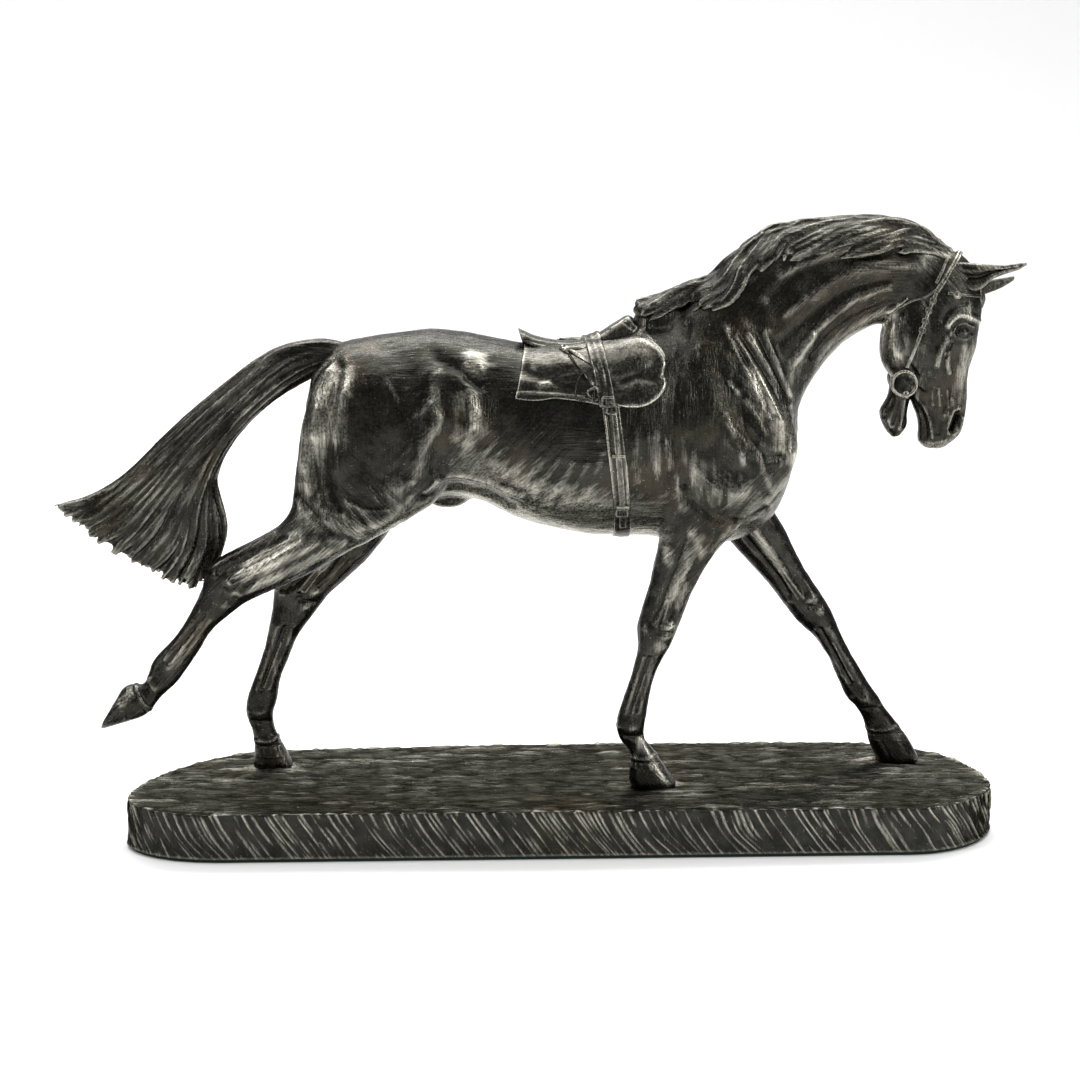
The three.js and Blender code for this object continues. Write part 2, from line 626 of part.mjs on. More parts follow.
// The surcingle runs over the seat and flaps; the girth goes on from the flaps, round under the chest.
const surcingleLine = [[11.5, 204], [13, 192], [16.5, 178], [18.2, 168.6]];
const SURCINGLE_WIDTH = 7.4;
const surcingleRibs = barrel.slice(7, 13).map((rib, i) => {
  const raise = [0, 0, 0.4, 1.2, 0, 0][i];
  return [rib[0], rib[1] + raise, rib[2], rib[3], rib[4], rib[5]];
});
const overTack = body(grown(surcingleRibs, layerTop(3) + 2), { sides: 24, perRib: 1 });
const seatRoom = body(grown(seatRibs, JOINT_GAP), { sides: 20, perRib: 2, fullness: 2.6 });
const underSurcingle = body(grown(barrel, layerTop(2) + JOINT_GAP), { sides: 24, perRib: 1 }).add(seatRoom);
const surcingleShell = body(grown(barrel, layerTop(3)), { sides: 24, perRib: 1 })
  .add(body(grown(seatRibs, JOINT_GAP + LEATHER), { sides: 20, perRib: 2, fullness: 2.6 }))
  .intersect(overTack)
  .subtract(underSurcingle);
piece('surcingle', strip(surcingleLine, SURCINGLE_WIDTH).intersect(surcingleShell), tackBronze);

const girthLine = [[18.4, 167.6], [20.6, 150], [22.6, 134], [24.4, 110]];
const GIRTH_WIDTH = 8;
const girth = strip(girthLine, GIRTH_WIDTH).intersect(layerShell(1)).subtract(shoulderRoom);
piece('girth', girth, tackBronze);

const girthStrapLine = [[19, 168], [21, 150], [22.8, 134], [23.8, 122]];
const GIRTH_STRAP_WIDTH = 3;
const strapShell = layerShell(2);
const keeperShell = layerShell(3);
for (const [side, low, high] of [['right', -60, -8], ['left', 8, 60]]) {
  piece(`${side}_girth_strap`, strip(girthStrapLine, GIRTH_STRAP_WIDTH, low, high).intersect(strapShell), tackBronze);
  for (const [name, x, z] of [['upper_keeper', 20.8, 151.6], ['lower_keeper', 23.2, 130.4]]) {
    const loop = slab([[x - 2.2, z - 1], [x + 2.2, z - 1], [x + 2.2, z + 1], [x - 2.2, z + 1]], low, high);
    piece(`${side}_girth_${name}`, loop.intersect(keeperShell), tackBronze);
  }
}

// A run-up stirrup iron lies on each flap: an arch, open in the middle, with a flat tread.
const ironPoints = [[5.8, 179.6], [8.2, 182.6], [11, 179.2], [12, 173.4], [9, 172], [5, 173]];
const ironEye = [[7, 178.6], [8.3, 180.4], [9.9, 178.4], [10.4, 175], [8.6, 174.3], [6.6, 174.8]];
const ironShell = body(grown(barrel, layerTop(3)), { sides: 24, perRib: 1 })
  .subtract(body(grown(barrel, layerTop(2) + JOINT_GAP), { sides: 24, perRib: 1 }));
const surcingleClear = strip(surcingleLine, SURCINGLE_WIDTH + 2 * JOINT_GAP);
for (const [side, low, high] of [['right', -60, -8], ['left', 8, 60]]) {
  const iron = roundedSlab(ironPoints, low, high, 20).subtract(roundedSlab(ironEye, -61, 61, 14));
  piece(`${side}_stirrup_iron`, iron.intersect(ironShell).subtract(surcingleClear), tackBronze);
}

// ---------------------------------------------------------------- bridle

const BRIDLE_LEATHER = 0.8;
const headShell = body(grown(skull, JOINT_GAP + BRIDLE_LEATHER), { sides: 18, fullness: 2.3 })
  .add(body(grown(neck, JOINT_GAP + BRIDLE_LEATHER)))
  .subtract(headRoom)
  .subtract(neckRoom);
const earsRoom = body(grown([[156, 223.4, 156, 212, 4.6, -6], [179, 222.5, 179, 218.5, 2, -8]], JOINT_GAP))
  .add(body(grown([[158, 215.4, 158, 205.5, 4.6, 6], [179, 215.6, 179, 212, 2, 8]], JOINT_GAP)));
const maneRoom = body(grown(maneRibs, JOINT_GAP), { sides: 10, perRib: 1 });
const rosetteAt = [145.4, 214.2];
const ringAt = [132.9, 175.2];
const ringY = 10.6;

const headpiece = strip([[152.6, 232], [149.2, 222], [146.2, 216.4]], 3.2)
  .intersect(headShell.subtract(maneRoom));
const browband = strip([[147.4, 213.6], [156, 209.2], [172, 204.4]], 2.4)
  .intersect(headShell.subtract(earsRoom));
const forelockRoom = body(grown(forelockRibs, JOINT_GAP), { sides: 10, perRib: 2 });
piece('browband', browband.subtract(forelockRoom), tackBronze);

const cheekLine = [[144.8, 212.2], [140.4, 200], [137, 191], [133.6, 181.4]];
const throatLine = [[143.6, 213.4], [136, 207.5], [128, 201.5], [118, 196]];
for (const [side, sign] of [['right', -1], ['left', 1]]) {
  const [low, high] = sign < 0 ? [-60, -1.5] : [1.5, 60];
  const rosette = crossRod(...rosetteAt, ...(sign < 0 ? [-11.6, -7] : [7, 11.6]), 1.5, 14);
  const rosetteRoom = crossRod(...rosetteAt, ...(sign < 0 ? [-20, -1] : [1, 20]), 1.5 + JOINT_GAP, 14);
  const roomyHead = headRoom.add(neckRoom);
  piece(`${side}_rosette`, rosette.subtract(roomyHead).subtract(browband), tackBronze);
  const bitRing = ring(ringAt[0], sign * ringY, ringAt[1], 4.9, 0.75);
  const ringRoom = ring(ringAt[0], sign * ringY, ringAt[1], 4.9, 0.75 + JOINT_GAP);
  const cheek = strip(cheekLine, 1.8, low, high).intersect(headShell);
  piece(`${side}_cheekpiece`, cheek.subtract(rosetteRoom).subtract(browband).subtract(ringRoom), tackBronze);
  const crown = headpiece.intersect(slab([[100, 100], [200, 100], [200, 260], [100, 260]], low, high));
  piece(`${side}_headpiece`, crown.subtract(rosetteRoom).subtract(browband), tackBronze);
  const throat = strip(throatLine, 1.6, sign < 0 ? -60 : 0.15, sign < 0 ? -0.15 : 60).intersect(headShell);
  piece(`${side}_throatlatch`, throat.subtract(rosetteRoom).subtract(cheek), tackBronze);
  piece(`${side}_bit_ring`, bitRing.subtract(headRoom), tackBronze);
}
const bitEnd = ringY - 0.75 - JOINT_GAP;
piece('bit_mouthpiece', crossRod(bitX, bitZ, -bitEnd, bitEnd, 1), tackBronze);

export default figure;
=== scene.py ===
"""A bronze statuette of a saddled racehorse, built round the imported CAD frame.

Lengths in this script are millimetres in the CAD's own frame (+X the way the horse faces, +Y its left,
+Z up) until a piece is made, when they are turned into metres.
"""

import math

import bpy
import numpy as np
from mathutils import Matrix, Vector
from mathutils.bvhtree import BVHTree


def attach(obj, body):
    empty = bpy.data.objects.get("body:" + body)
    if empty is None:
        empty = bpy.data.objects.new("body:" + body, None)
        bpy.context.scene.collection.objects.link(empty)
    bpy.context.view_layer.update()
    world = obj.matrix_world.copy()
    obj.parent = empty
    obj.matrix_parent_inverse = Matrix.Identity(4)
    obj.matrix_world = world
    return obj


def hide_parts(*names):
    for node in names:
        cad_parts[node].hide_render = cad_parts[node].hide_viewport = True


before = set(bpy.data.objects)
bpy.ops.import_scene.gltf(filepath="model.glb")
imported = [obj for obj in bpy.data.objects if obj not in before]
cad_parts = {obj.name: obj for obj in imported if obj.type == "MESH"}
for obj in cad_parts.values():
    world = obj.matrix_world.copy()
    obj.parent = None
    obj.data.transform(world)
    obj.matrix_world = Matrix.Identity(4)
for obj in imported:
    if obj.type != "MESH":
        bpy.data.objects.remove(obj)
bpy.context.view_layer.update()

MM = 0.001
SKIN_CELL = 0.85  # size of the cells the cast skin is made from
HAIR_CELL = 0.5
FINE_CELL = 0.4  # for the ears and the lower jaw
RANDOM = np.random.default_rng(7)

# ---------------------------------------------------------------- the horse's outlines

# A rib is [x1, z1, x2, z2, half width, y]: two opposite points of the outline seen from the side, and how
# far the body reaches to each side of its middle plane there.
BARREL = [
    [-96.3, 171, -98.3, 151, 8, 0],
    [-93, 182.5, -95.8, 139, 17, 0],
    [-86, 190, -88, 128, 24, 0],
    [-74, 193.2, -75, 124, 28.5, 0],
    [-60, 195.2, -60, 126, 30.5, 0],
    [-46, 196, -46, 131, 30.5, 0],
    [-32, 194.2, -31, 130, 30, 0],
    [-16, 191, -17, 123.5, 31.5, 0],
    [0, 188.4, -1, 118.8, 33, 0],
    [16, 189, 14, 116.2, 33.5, 0],
    [32, 196, 32, 115.6, 32, 0],
    [48, 199, 50, 112.5, 29.5, 0],
    [64, 199, 66, 112.5, 27.5, 0],
    [78, 190, 78.5, 118, 24.5, 0],
    [87, 176, 86, 127.5, 20, 0],
    [91, 162, 90.3, 139, 12, 0],
]
HAUNCH_HEIGHTS = [
    [-78, 191, -58, 192.2, 3.5, 7],
    [-83, 188.2, -53, 189.6, 8.2, 10.5],
    [-89, 183, -48.6, 184.4, 12, 13.4],
    [-93.2, 176, -45, 177, 14.5, 15.5],
    [-98, 162, -41, 162, 15, 17.5],
    [-100.4, 148, -41.5, 146, 14, 19],
    [-102.2, 136, -47, 133.5, 12.5, 20.5],
]
SHOULDER_HEIGHTS = [
    [44, 190, 66, 194, 8, 12],
    [41, 176, 80, 180, 11, 14],
    [39.5, 160, 89, 162, 12, 15.5],
    [38.5, 146, 90.3, 146, 11.5, 16.5],
]
NECK = [
    [23, 189, 84, 122, 19.5, 0],
    [44, 201.5, 92.5, 152, 22.5, 0],
    [58, 213, 93.3, 165, 18.5, 0],
    [72, 224.5, 97.5, 174.5, 15.5, 0],
    [87, 232.5, 103.5, 183, 13.2, 0],
    [104, 235.5, 111.5, 191, 11.6, 0],
    [121, 235.5, 120.5, 196.3, 10.6, 0],
    [137, 231.5, 129.5, 198, 10, 0],
    [150, 225, 137, 197, 9.4, 0],
]
SKULL = [
    [148, 227, 132.5, 204, 8.4, 0],
    [156.5, 223.5, 127, 197.5, 10.2, 0],
    [162.8, 215, 124.8, 190.5, 11.2, 0],
    [164.2, 205, 125.2, 183.5, 11.8, 0],
    [163, 195.5, 128.6, 177.5, 11.4, 0],
    [161.6, 186.5, 134, 172, 9.4, 0],
    [159.2, 178, 137.3, 167.2, 7.6, 0],
    [159, 169.5, 139, 162, 6.7, 0],
    [158.7, 162, 140.1, 156.8, 6.8, 0],
    [157, 154.6, 139.9, 151.9, 6.3, 0],
    [150.8, 148.8, 143, 148.4, 3.6, 0],
]
JAW = [
    [139, 173.5, 129.5, 180, 6.6, 0],
    [137, 168.5, 128, 169.3, 5.6, 0],
    [135.8, 163, 125, 163, 5.2, 0],
    [135.6, 157.6, 127, 156.8, 4.4, 0],
    [133, 153.8, 130, 153.2, 2.2, 0],
]
# Each leg from where it joins the body down to the sole: rear edge first, then front edge.
RIGHT_FORE = [
    [37, 133, 80, 132, 10.8, -17.5],
    [38.2, 121, 68, 120.5, 9.4, -18],
    [36.4, 110, 59, 110, 8, -18],
    [34, 98, 51.6, 98, 6.6, -18],
    [30.9, 88, 47.9, 88.5, 5.8, -18],
    [29.4, 81.5, 45.6, 82, 6.4, -18],
    [30, 75, 42.5, 75, 5.8, -18],
    [28.2, 67, 38, 67, 4.4, -18],
    [25.6, 58, 35.3, 58, 3.8, -18],
    [22.8, 50, 33.7, 50, 4, -18],
    [21.4, 43.5, 33, 44, 4.9, -18],
    [22.8, 38, 32.8, 38.6, 4.2, -18],
    [27.2, 32, 36.6, 33, 4.3, -18],
    [26.8, 27, 40.6, 27, 6.2, -18],
    [26.6, 18.8, 46, 18.8, 7.4, -18],
]
LEFT_FORE = [
    [44, 133, 87.2, 132, 10.8, 17.5],
    [57, 121, 86.2, 122.4, 9.6, 18.5],
    [66.5, 112, 90.7, 114.4, 8.4, 19.5],
    [76, 101.5, 96.4, 103, 7, 20],
    [84.5, 92, 102.6, 92.5, 6, 20],
    [91, 84, 108, 84.5, 6.2, 20],
    [96, 77, 111.6, 78, 6, 20],
    [103.5, 70, 114.5, 71, 4.6, 20],
    [109, 62, 119, 62.5, 3.9, 20],
    [113.2, 53, 124.3, 53.5, 4, 20],
    [116.6, 45.5, 129.2, 46.5, 4.8, 20],
    [121.8, 39.5, 132.8, 40.5, 4.4, 20],
    [124.6, 33.5, 137.2, 35, 4.6, 20],
    [125.6, 28.5, 141.6, 29, 6.4, 20],
    [129.4, 18.8, 147.4, 18.8, 7.4, 20],
]
RIGHT_HIND = [
    [-104, 127.5, -59, 125, 11, -21.5],
    [-110, 121.5, -74, 117.5, 10, -22],
    [-116.5, 118.3, -91, 107.8, 8.6, -22],
    [-125, 114.3, -106.5, 100, 6.8, -22],
    [-133.4, 109.2, -119.5, 94.4, 6.2, -22],
    [-137.4, 99.5, -127.6, 88.6, 5.8, -22],
    [-142, 90, -134.2, 82.4, 4.6, -22],
    [-149.3, 79.6, -140.8, 72, 4, -22],
    [-156.9, 71, -147.5, 62.6, 4.3, -22],
    [-159, 65, -152.6, 58.2, 4.8, -22],
    [-160.8, 62, -155.4, 54.8, 4.3, -22],
    [-165, 62.4, -158.8, 50.8, 5.8, -22],
    [-168.6, 60.6, -178, 44.4, 7.2, -22],
]
LEFT_HIND = [
    [-102, 125, -57.5, 124.5, 11, 21],
    [-102, 114, -65, 115, 9.6, 20.5],
    [-104.5, 105, -73.1, 104.5, 8.2, 20.5],
    [-110, 97, -82.2, 96, 6.8, 20.5],
    [-112, 89, -90.6, 88, 6, 20.5],
    [-113.4, 80, -97.2, 79.5, 5.4, 20],
    [-115, 72, -102.8, 72, 4.5, 20],
    [-117.2, 64, -106, 64, 4.1, 20],
    [-120.4, 55, -109.6, 55, 4, 20],
    [-123.4, 46, -111.2, 46.5, 4.6, 20],
    [-123.6, 40.5, -112.6, 41, 4.9, 20],
    [-121.4, 34, -112.2, 35, 4.2, 20],
    [-120.4, 28, -109.2, 29, 5.8, 20],
    [-121.4, 18.8, -104.2, 18.8, 7.4, 20],
]
MANE = [
    [29.5, 202, 34, 199, 1.6, 0],
    [37, 207, 42, 199, 3.2, 0],
    [45, 212.4, 52, 204, 4, 0],
    [57, 215.8, 63, 209, 4.6, 0],
    [66, 223.4, 73, 216, 5, 0],
    [76.5, 232, 81, 222, 5.2, 0],
    [89.5, 237.6, 93, 226, 5.2, 0],
    [104, 239.2, 105, 228, 5, 0],
    [121, 239.9, 119, 228, 4.8, 0],
    [136.4, 237.8, 131, 225, 4.4, 0],
    [146.6, 231, 141, 220, 4, 0],
    [152.6, 227, 149, 220, 3.2, 0],
]
SEAT = [
    [-15.8, 196.4, -14, 190.6, 8.2, 0],
    [-10.5, 193.8, -9.5, 188, 8.8, 0],
    [-3, 191.9, -2, 186, 8, 0],
    [6, 191.4, 7, 186, 7.4, 0],
    [14, 193.6, 15, 186, 7.2, 0],
    [22, 198.4, 23, 188, 7, 0],
    [27, 201, 30, 192, 6.2, 0],
    [30.2, 199, 32, 194, 4.6, 0],
]

# Lines in the side view where one cast section ends and the next begins.
NECK_JOINT = [[44, 201.5], [92.5, 152]]
POLL_JOINT = [[150, 226.5], [121.5, 197]]
RIGHT_FORE_JOINT = [[20, 116.5], [90, 116.5]]
LEFT_FORE_JOINT = [[62, 111], [98, 118]]
RIGHT_HIND_JOINT = [[-118, 128], [-84, 100]]
LEFT_HIND_JOINT = [[-130, 109.5], [-40, 109.5]]

# ---------------------------------------------------------------- curves and meshes


def smooth_line(points, steps):
    """Points on a smooth curve (centripetal Catmull-Rom) through the given ones."""
    p = np.asarray(points, float)
    ends = np.vstack([2 * p[0] - p[1], p, 2 * p[-1] - p[-2]])
    t = np.linspace(0, len(p) - 1, steps)
    i = np.minimum(t.astype(int), len(p) - 2)
    f = (t - i)[:, None]
    p0, p1, p2, p3 = ends[i], ends[i + 1], ends[i + 2], ends[i + 3]

    def gap(a, b):
        return np.maximum(((b - a) ** 2).sum(axis=1) ** 0.25, 1e-4)[:, None]

    d0, d1, d2 = gap(p0, p1), gap(p1, p2), gap(p2, p3)
    m1 = ((p1 - p0) / d0 - (p2 - p0) / (d0 + d1) + (p2 - p1) / d1) * d1
    m2 = ((p2 - p1) / d1 - (p3 - p1) / (d1 + d2) + (p3 - p2) / d2) * d1
    return p1 + f * m1 + f**2 * (3 * (p2 - p1) - 2 * m1 - m2) + f**3 * (2 * (p1 - p2) + m1 + m2)


def unit(vectors):
    """Rows of a table of vectors, each made one unit long."""
    return vectors / np.linalg.norm(vectors, axis=1)[:, None]


def circle(sides):
    """Angles evenly round a circle."""
    return np.linspace(0, 2 * math.pi, sides, endpoint=False)


def ring_faces(rings, sides):
    """Quads between neighbouring rings of points, with a flat face over each end."""
    faces = []
    for i in range(rings - 1):
        for j in range(sides):
            k = (j + 1) % sides
            a = i * sides
            b = a + sides
            faces.append((a + j, a + k, b + k, b + j))
    faces.append(tuple(reversed(range(sides))))
    faces.append(tuple((rings - 1) * sides + j for j in range(sides)))
    return faces


def loft(ribs, fullness=2.2, sides=56, per_rib=6, grow=0.0):
    """A smooth closed skin over ribs, grown by a distance."""
    r = np.array(ribs, float)
    reach = r[:, 2:4] - r[:, 0:2]
    reach = grow * reach / np.linalg.norm(reach, axis=1)[:, None]
    r[:, 0:2] -= reach
    r[:, 2:4] += reach
    r[:, 4] += grow
    count = per_rib * (len(r) - 1) + 1
    one = smooth_line(r[:, [0, 5, 1]], count)
    two = smooth_line(r[:, [2, 5, 3]], count)
    stations = np.column_stack([10.0 * np.arange(len(r)), r[:, 4]])
    width = smooth_line(stations, count)[:, 1]
    angle = circle(sides)
    across = np.sign(np.sin(angle)) * np.abs(np.sin(angle)) ** (2 / fullness)
    aside = np.sign(np.cos(angle)) * np.abs(np.cos(angle)) ** (2 / fullness)
    points = ((one + two) / 2)[:, None, :] + ((one - two) / 2)[:, None, :] * across[None, :, None]
    points[:, :, 1] += width[:, None] * aside[None, :]
    return points.reshape(-1, 3), ring_faces(count, sides)


def ball(centre, radii, sides=24):
    """An ellipsoid."""
    angle = circle(sides)
    rings = []
    for tilt in np.linspace(-1.45, 1.45, sides // 2):
        rings.append(np.column_stack([
            math.cos(tilt) * np.cos(angle),
            math.cos(tilt) * np.sin(angle),
            np.full(sides, math.sin(tilt)),
        ]))
    points = np.concatenate(rings) * radii + centre
    return points, ring_faces(len(rings), sides)


def tube(path, radii, sides=10, flute=0.0, flutes=5, turn=0.0, flat=1.0):
    """A closed tube round a path, tapering as radii say, fluted like strands lying together."""
    path = np.asarray(path, float)
    ahead = unit(np.gradient(path, axis=0))
    side = np.cross(ahead, [0.0, 1.0, 0.0])
    side /= np.maximum(np.linalg.norm(side, axis=1), 1e-6)[:, None]
    up = np.cross(side, ahead)
    angle = circle(sides)
    turns = np.linspace(0, turn, len(path))[:, None] + angle[None, :]
    size = np.asarray(radii)[:, None] * (1 + flute * np.cos(flutes * turns))
    points = path[:, None, :]
    points = points + side[:, None, :] * (size * np.cos(angle))[:, :, None]
    points = points + up[:, None, :] * (flat * size * np.sin(angle))[:, :, None]
    return points.reshape(-1, 3), ring_faces(len(path), sides)


def joined(parts):
    """Several (points, faces) meshes as one."""
    points, faces, base = [], [], 0
    for part_points, part_faces in parts:
        points.append(part_points)
        faces.extend(tuple(i + base for i in face) for face in part_faces)
        base += len(part_points)
    return np.concatenate(points), faces


def fused(parts, cell):
    """One closed skin round overlapping meshes: (points, quads)."""
    points, faces = joined(parts)
    mesh = bpy.data.meshes.new("working")
    mesh.from_pydata([tuple(p) for p in points], [], [tuple(int(i) for i in f) for f in faces])
    working = bpy.data.objects.new("working", mesh)
    bpy.context.scene.collection.objects.link(working)
    remesh = working.modifiers.new("skin", "REMESH")
    remesh.mode = "VOXEL"
    remesh.voxel_size = cell
    made = working.evaluated_get(bpy.context.evaluated_depsgraph_get()).to_mesh()
    skin = np.empty(3 * len(made.vertices), np.float32)
    made.vertices.foreach_get("co", skin)
    corners = np.empty(len(made.loops), np.int32)
    made.loops.foreach_get("vertex_index", corners)
    sizes = np.empty(len(made.polygons), np.int32)
    made.polygons.foreach_get("loop_total", sizes)
    assert (sizes == 4).all()
    bpy.data.objects.remove(working)
    return biggest(skin.reshape(-1, 3).astype(float), corners.reshape(-1, 4))


def biggest(points, quads):
    """The largest connected part of a skin."""
    label = np.arange(len(points))
    while True:
        low = label[quads].min(axis=1)
        after = label.copy()
        np.minimum.at(after, quads.ravel(), np.repeat(low, 4))
        after = after[after]
        if (after == label).all():
            break
        label = after
    names, counts = np.unique(label, return_counts=True)
    keep = label == names[counts.argmax()]
    return compact(points, quads[keep[quads[:, 0]]])[:2]


def compact(points, faces):
    """Only the points that the faces use, and where each came from."""
    used = np.unique(faces)
    new = np.full(len(points), -1)
    new[used] = np.arange(len(used))
    return points[used], new[faces], used


def sides_of(quads):
    """Each quad's four sides, as pairs of points in the quad's own direction."""
    return np.concatenate([quads[:, [k, (k + 1) % 4]] for k in range(4)])


def edges_of(quads):
    """Every edge of a mesh once."""
    return np.unique(np.sort(sides_of(quads), axis=1), axis=0)


def spread(values, edges, amount, times):
    """Values eased towards their neighbours' mean."""
    a, b = edges[:, 0], edges[:, 1]
    count = np.bincount(np.concatenate([a, b]), minlength=len(values)).astype(float)
    flat = values.ndim == 1
    v = values[:, None].copy() if flat else values.copy()
    for _ in range(times):
        for k in range(v.shape[1]):
            near = np.bincount(a, v[b, k], len(v)) + np.bincount(b, v[a, k], len(v))
            v[:, k] += amount * (near / count - v[:, k])
    return v[:, 0] if flat else v


def relaxed(points, quads, times):
    """A skin smoothed without shrinking."""
    edges = edges_of(quads)
    for _ in range(times):
        points = spread(points, edges, 0.5, 1)
        points = spread(points, edges, -0.52, 1)
    return points


def normals_of(points, quads):
    """The direction that a mesh faces at each of its points."""
    one = points[quads[:, 2]] - points[quads[:, 0]]
    two = points[quads[:, 3]] - points[quads[:, 1]]
    flat = np.cross(one, two)
    out = np.zeros_like(points)
    for k in range(3):
        for corner in range(4):
            out[:, k] += np.bincount(quads[:, corner], flat[:, k], len(points))
    return out / np.maximum(np.linalg.norm(out, axis=1), 1e-9)[:, None]


def proudness(p, n, edges, times):
    """How far each point stands out of its smoothed surroundings."""
    return ((p - spread(p, edges, 0.5, times)) * n).sum(axis=1)


def halved(points, quads):
    """Each quad cut into four."""
    edges, where = np.unique(np.sort(sides_of(quads), axis=1), axis=0, return_inverse=True)
    where = where.reshape(-1)
    count = len(quads)
    middle = len(points) + where.reshape(4, count).T
    centre = len(points) + len(edges) + np.arange(count)
    new_points = np.concatenate([
        points,
        points[edges].mean(axis=1),
        points[quads].mean(axis=1),
    ])
    new_quads = []
    for k in range(4):
        new_quads.append(np.column_stack([quads[:, k], middle[:, k], centre, middle[:, (k + 3) % 4]]))
    return new_points, np.concatenate(new_quads)

# ---------------------------------------------------------------- noise and hair flow


def hashed(ix, iy, iz, seed):
    """A repeatable number from 0 to 1 for each whole-number cell."""
    h = ix * 374761393 + iy * 668265263 + iz * 2147483647 + seed * 974711
    h = (h ^ (h >> 13)) * 1274126177 & 0xFFFFFFFF
    h = (h ^ (h >> 16)) * 2246822519 & 0xFFFFFFFF
    return ((h ^ (h >> 15)) & 0xFFFFFF) / 0xFFFFFF


def noise(p, seed):
    """Smooth value noise from -1 to 1 with unit cells."""
    cell = np.floor(p).astype(np.int64)
    f = p - cell
    f = f * f * (3 - 2 * f)
    total = np.zeros(len(p))
    for i in (0, 1):
        for j in (0, 1):
            for k in (0, 1):
                weight = (f[:, 0] if i else 1 - f[:, 0]) * (f[:, 1] if j else 1 - f[:, 1])
                weight = weight * (f[:, 2] if k else 1 - f[:, 2])
                total += weight * hashed(cell[:, 0] + i, cell[:, 1] + j, cell[:, 2] + k, seed)
    return 2 * total - 1


def wander(along, across, seed):
    """Noise along a line of numbers, the same wherever across is the same."""
    return noise(np.column_stack([along, 0 * along + across, 0 * along]), seed)


FLOW_ANGLES = np.radians([0, 45, 90, 135])


def flow_weights(angle):
    """How much of each of the four brushing directions makes up a direction in the side view."""
    apart = np.abs((angle[:, None] - FLOW_ANGLES[None, :] + math.pi / 2) % math.pi - math.pi / 2)
    return np.clip(1 - apart / (math.pi / 4), 0, 1)


def brushed(p, weights, length, width, seed):
    """Noise drawn out along the flow: strokes of that length and width."""
    total = np.zeros(len(p))
    for k, angle in enumerate(FLOW_ANGLES):
        on = weights[:, k] > 0
        q = p[on]
        along = q[:, 0] * math.cos(angle) + q[:, 2] * math.sin(angle)
        across = -q[:, 0] * math.sin(angle) + q[:, 2] * math.cos(angle)
        cells = np.column_stack([along / length, q[:, 1] / width, across / width])
        total[on] += weights[on, k] * noise(cells, seed + k)
    return total


# Which way the brush strokes run on the horse, in degrees from +X towards +Z: [x, z, angle].
HORSE_FLOW = [
    [-90, 170, 100], [-95, 145, 95], [-80, 185, 150], [-70, 160, 100], [-50, 185, 10], [-55, 150, 70],
    [-75, 130, 135], [-30, 180, 170], [-30, 150, 40], [-15, 140, 50], [-12, 155, 35], [-33, 168, 95],
    [-40, 138, 20], [0, 135, 55], [10, 160, 170],
    [0, 122, 5], [30, 150, 85], [32, 120, 5], [50, 170, 90], [70, 190, 115], [80, 165, 100],
    [60, 145, 110], [75, 130, 30], [70, 205, 55], [100, 215, 30], [125, 222, 5], [95, 190, 65],
    [110, 205, 40], [145, 215, 140], [135, 190, 100], [155, 190, 95], [150, 165, 95],
    [-100, 112, 35], [-125, 100, 40], [-145, 80, 50], [-170, 55, 60], [-80, 105, 40], [-105, 85, 85],
    [-112, 60, 75], [-115, 25, 80], [50, 110, 55], [42, 90, 75], [32, 65, 75], [28, 45, 80], [35, 25, 120],
    [80, 108, 125], [100, 85, 120], [115, 60, 115], [128, 40, 125], [138, 25, 120],
]


def horse_flow(p):
    """The brushing direction at each point, blended from the nearest given ones."""
    marks = np.array(HORSE_FLOW, float)
    total = np.zeros((len(p), 2))
    for x, z, degrees in marks:
        near = 1 / ((p[:, 0] - x) ** 2 + (p[:, 2] - z) ** 2 + 9) ** 1.5
        turn = math.radians(2 * degrees)
        total += near[:, None] * np.array([math.cos(turn), math.sin(turn)])
    return np.arctan2(total[:, 1], total[:, 0]) / 2


# ---------------------------------------------------------------- carving

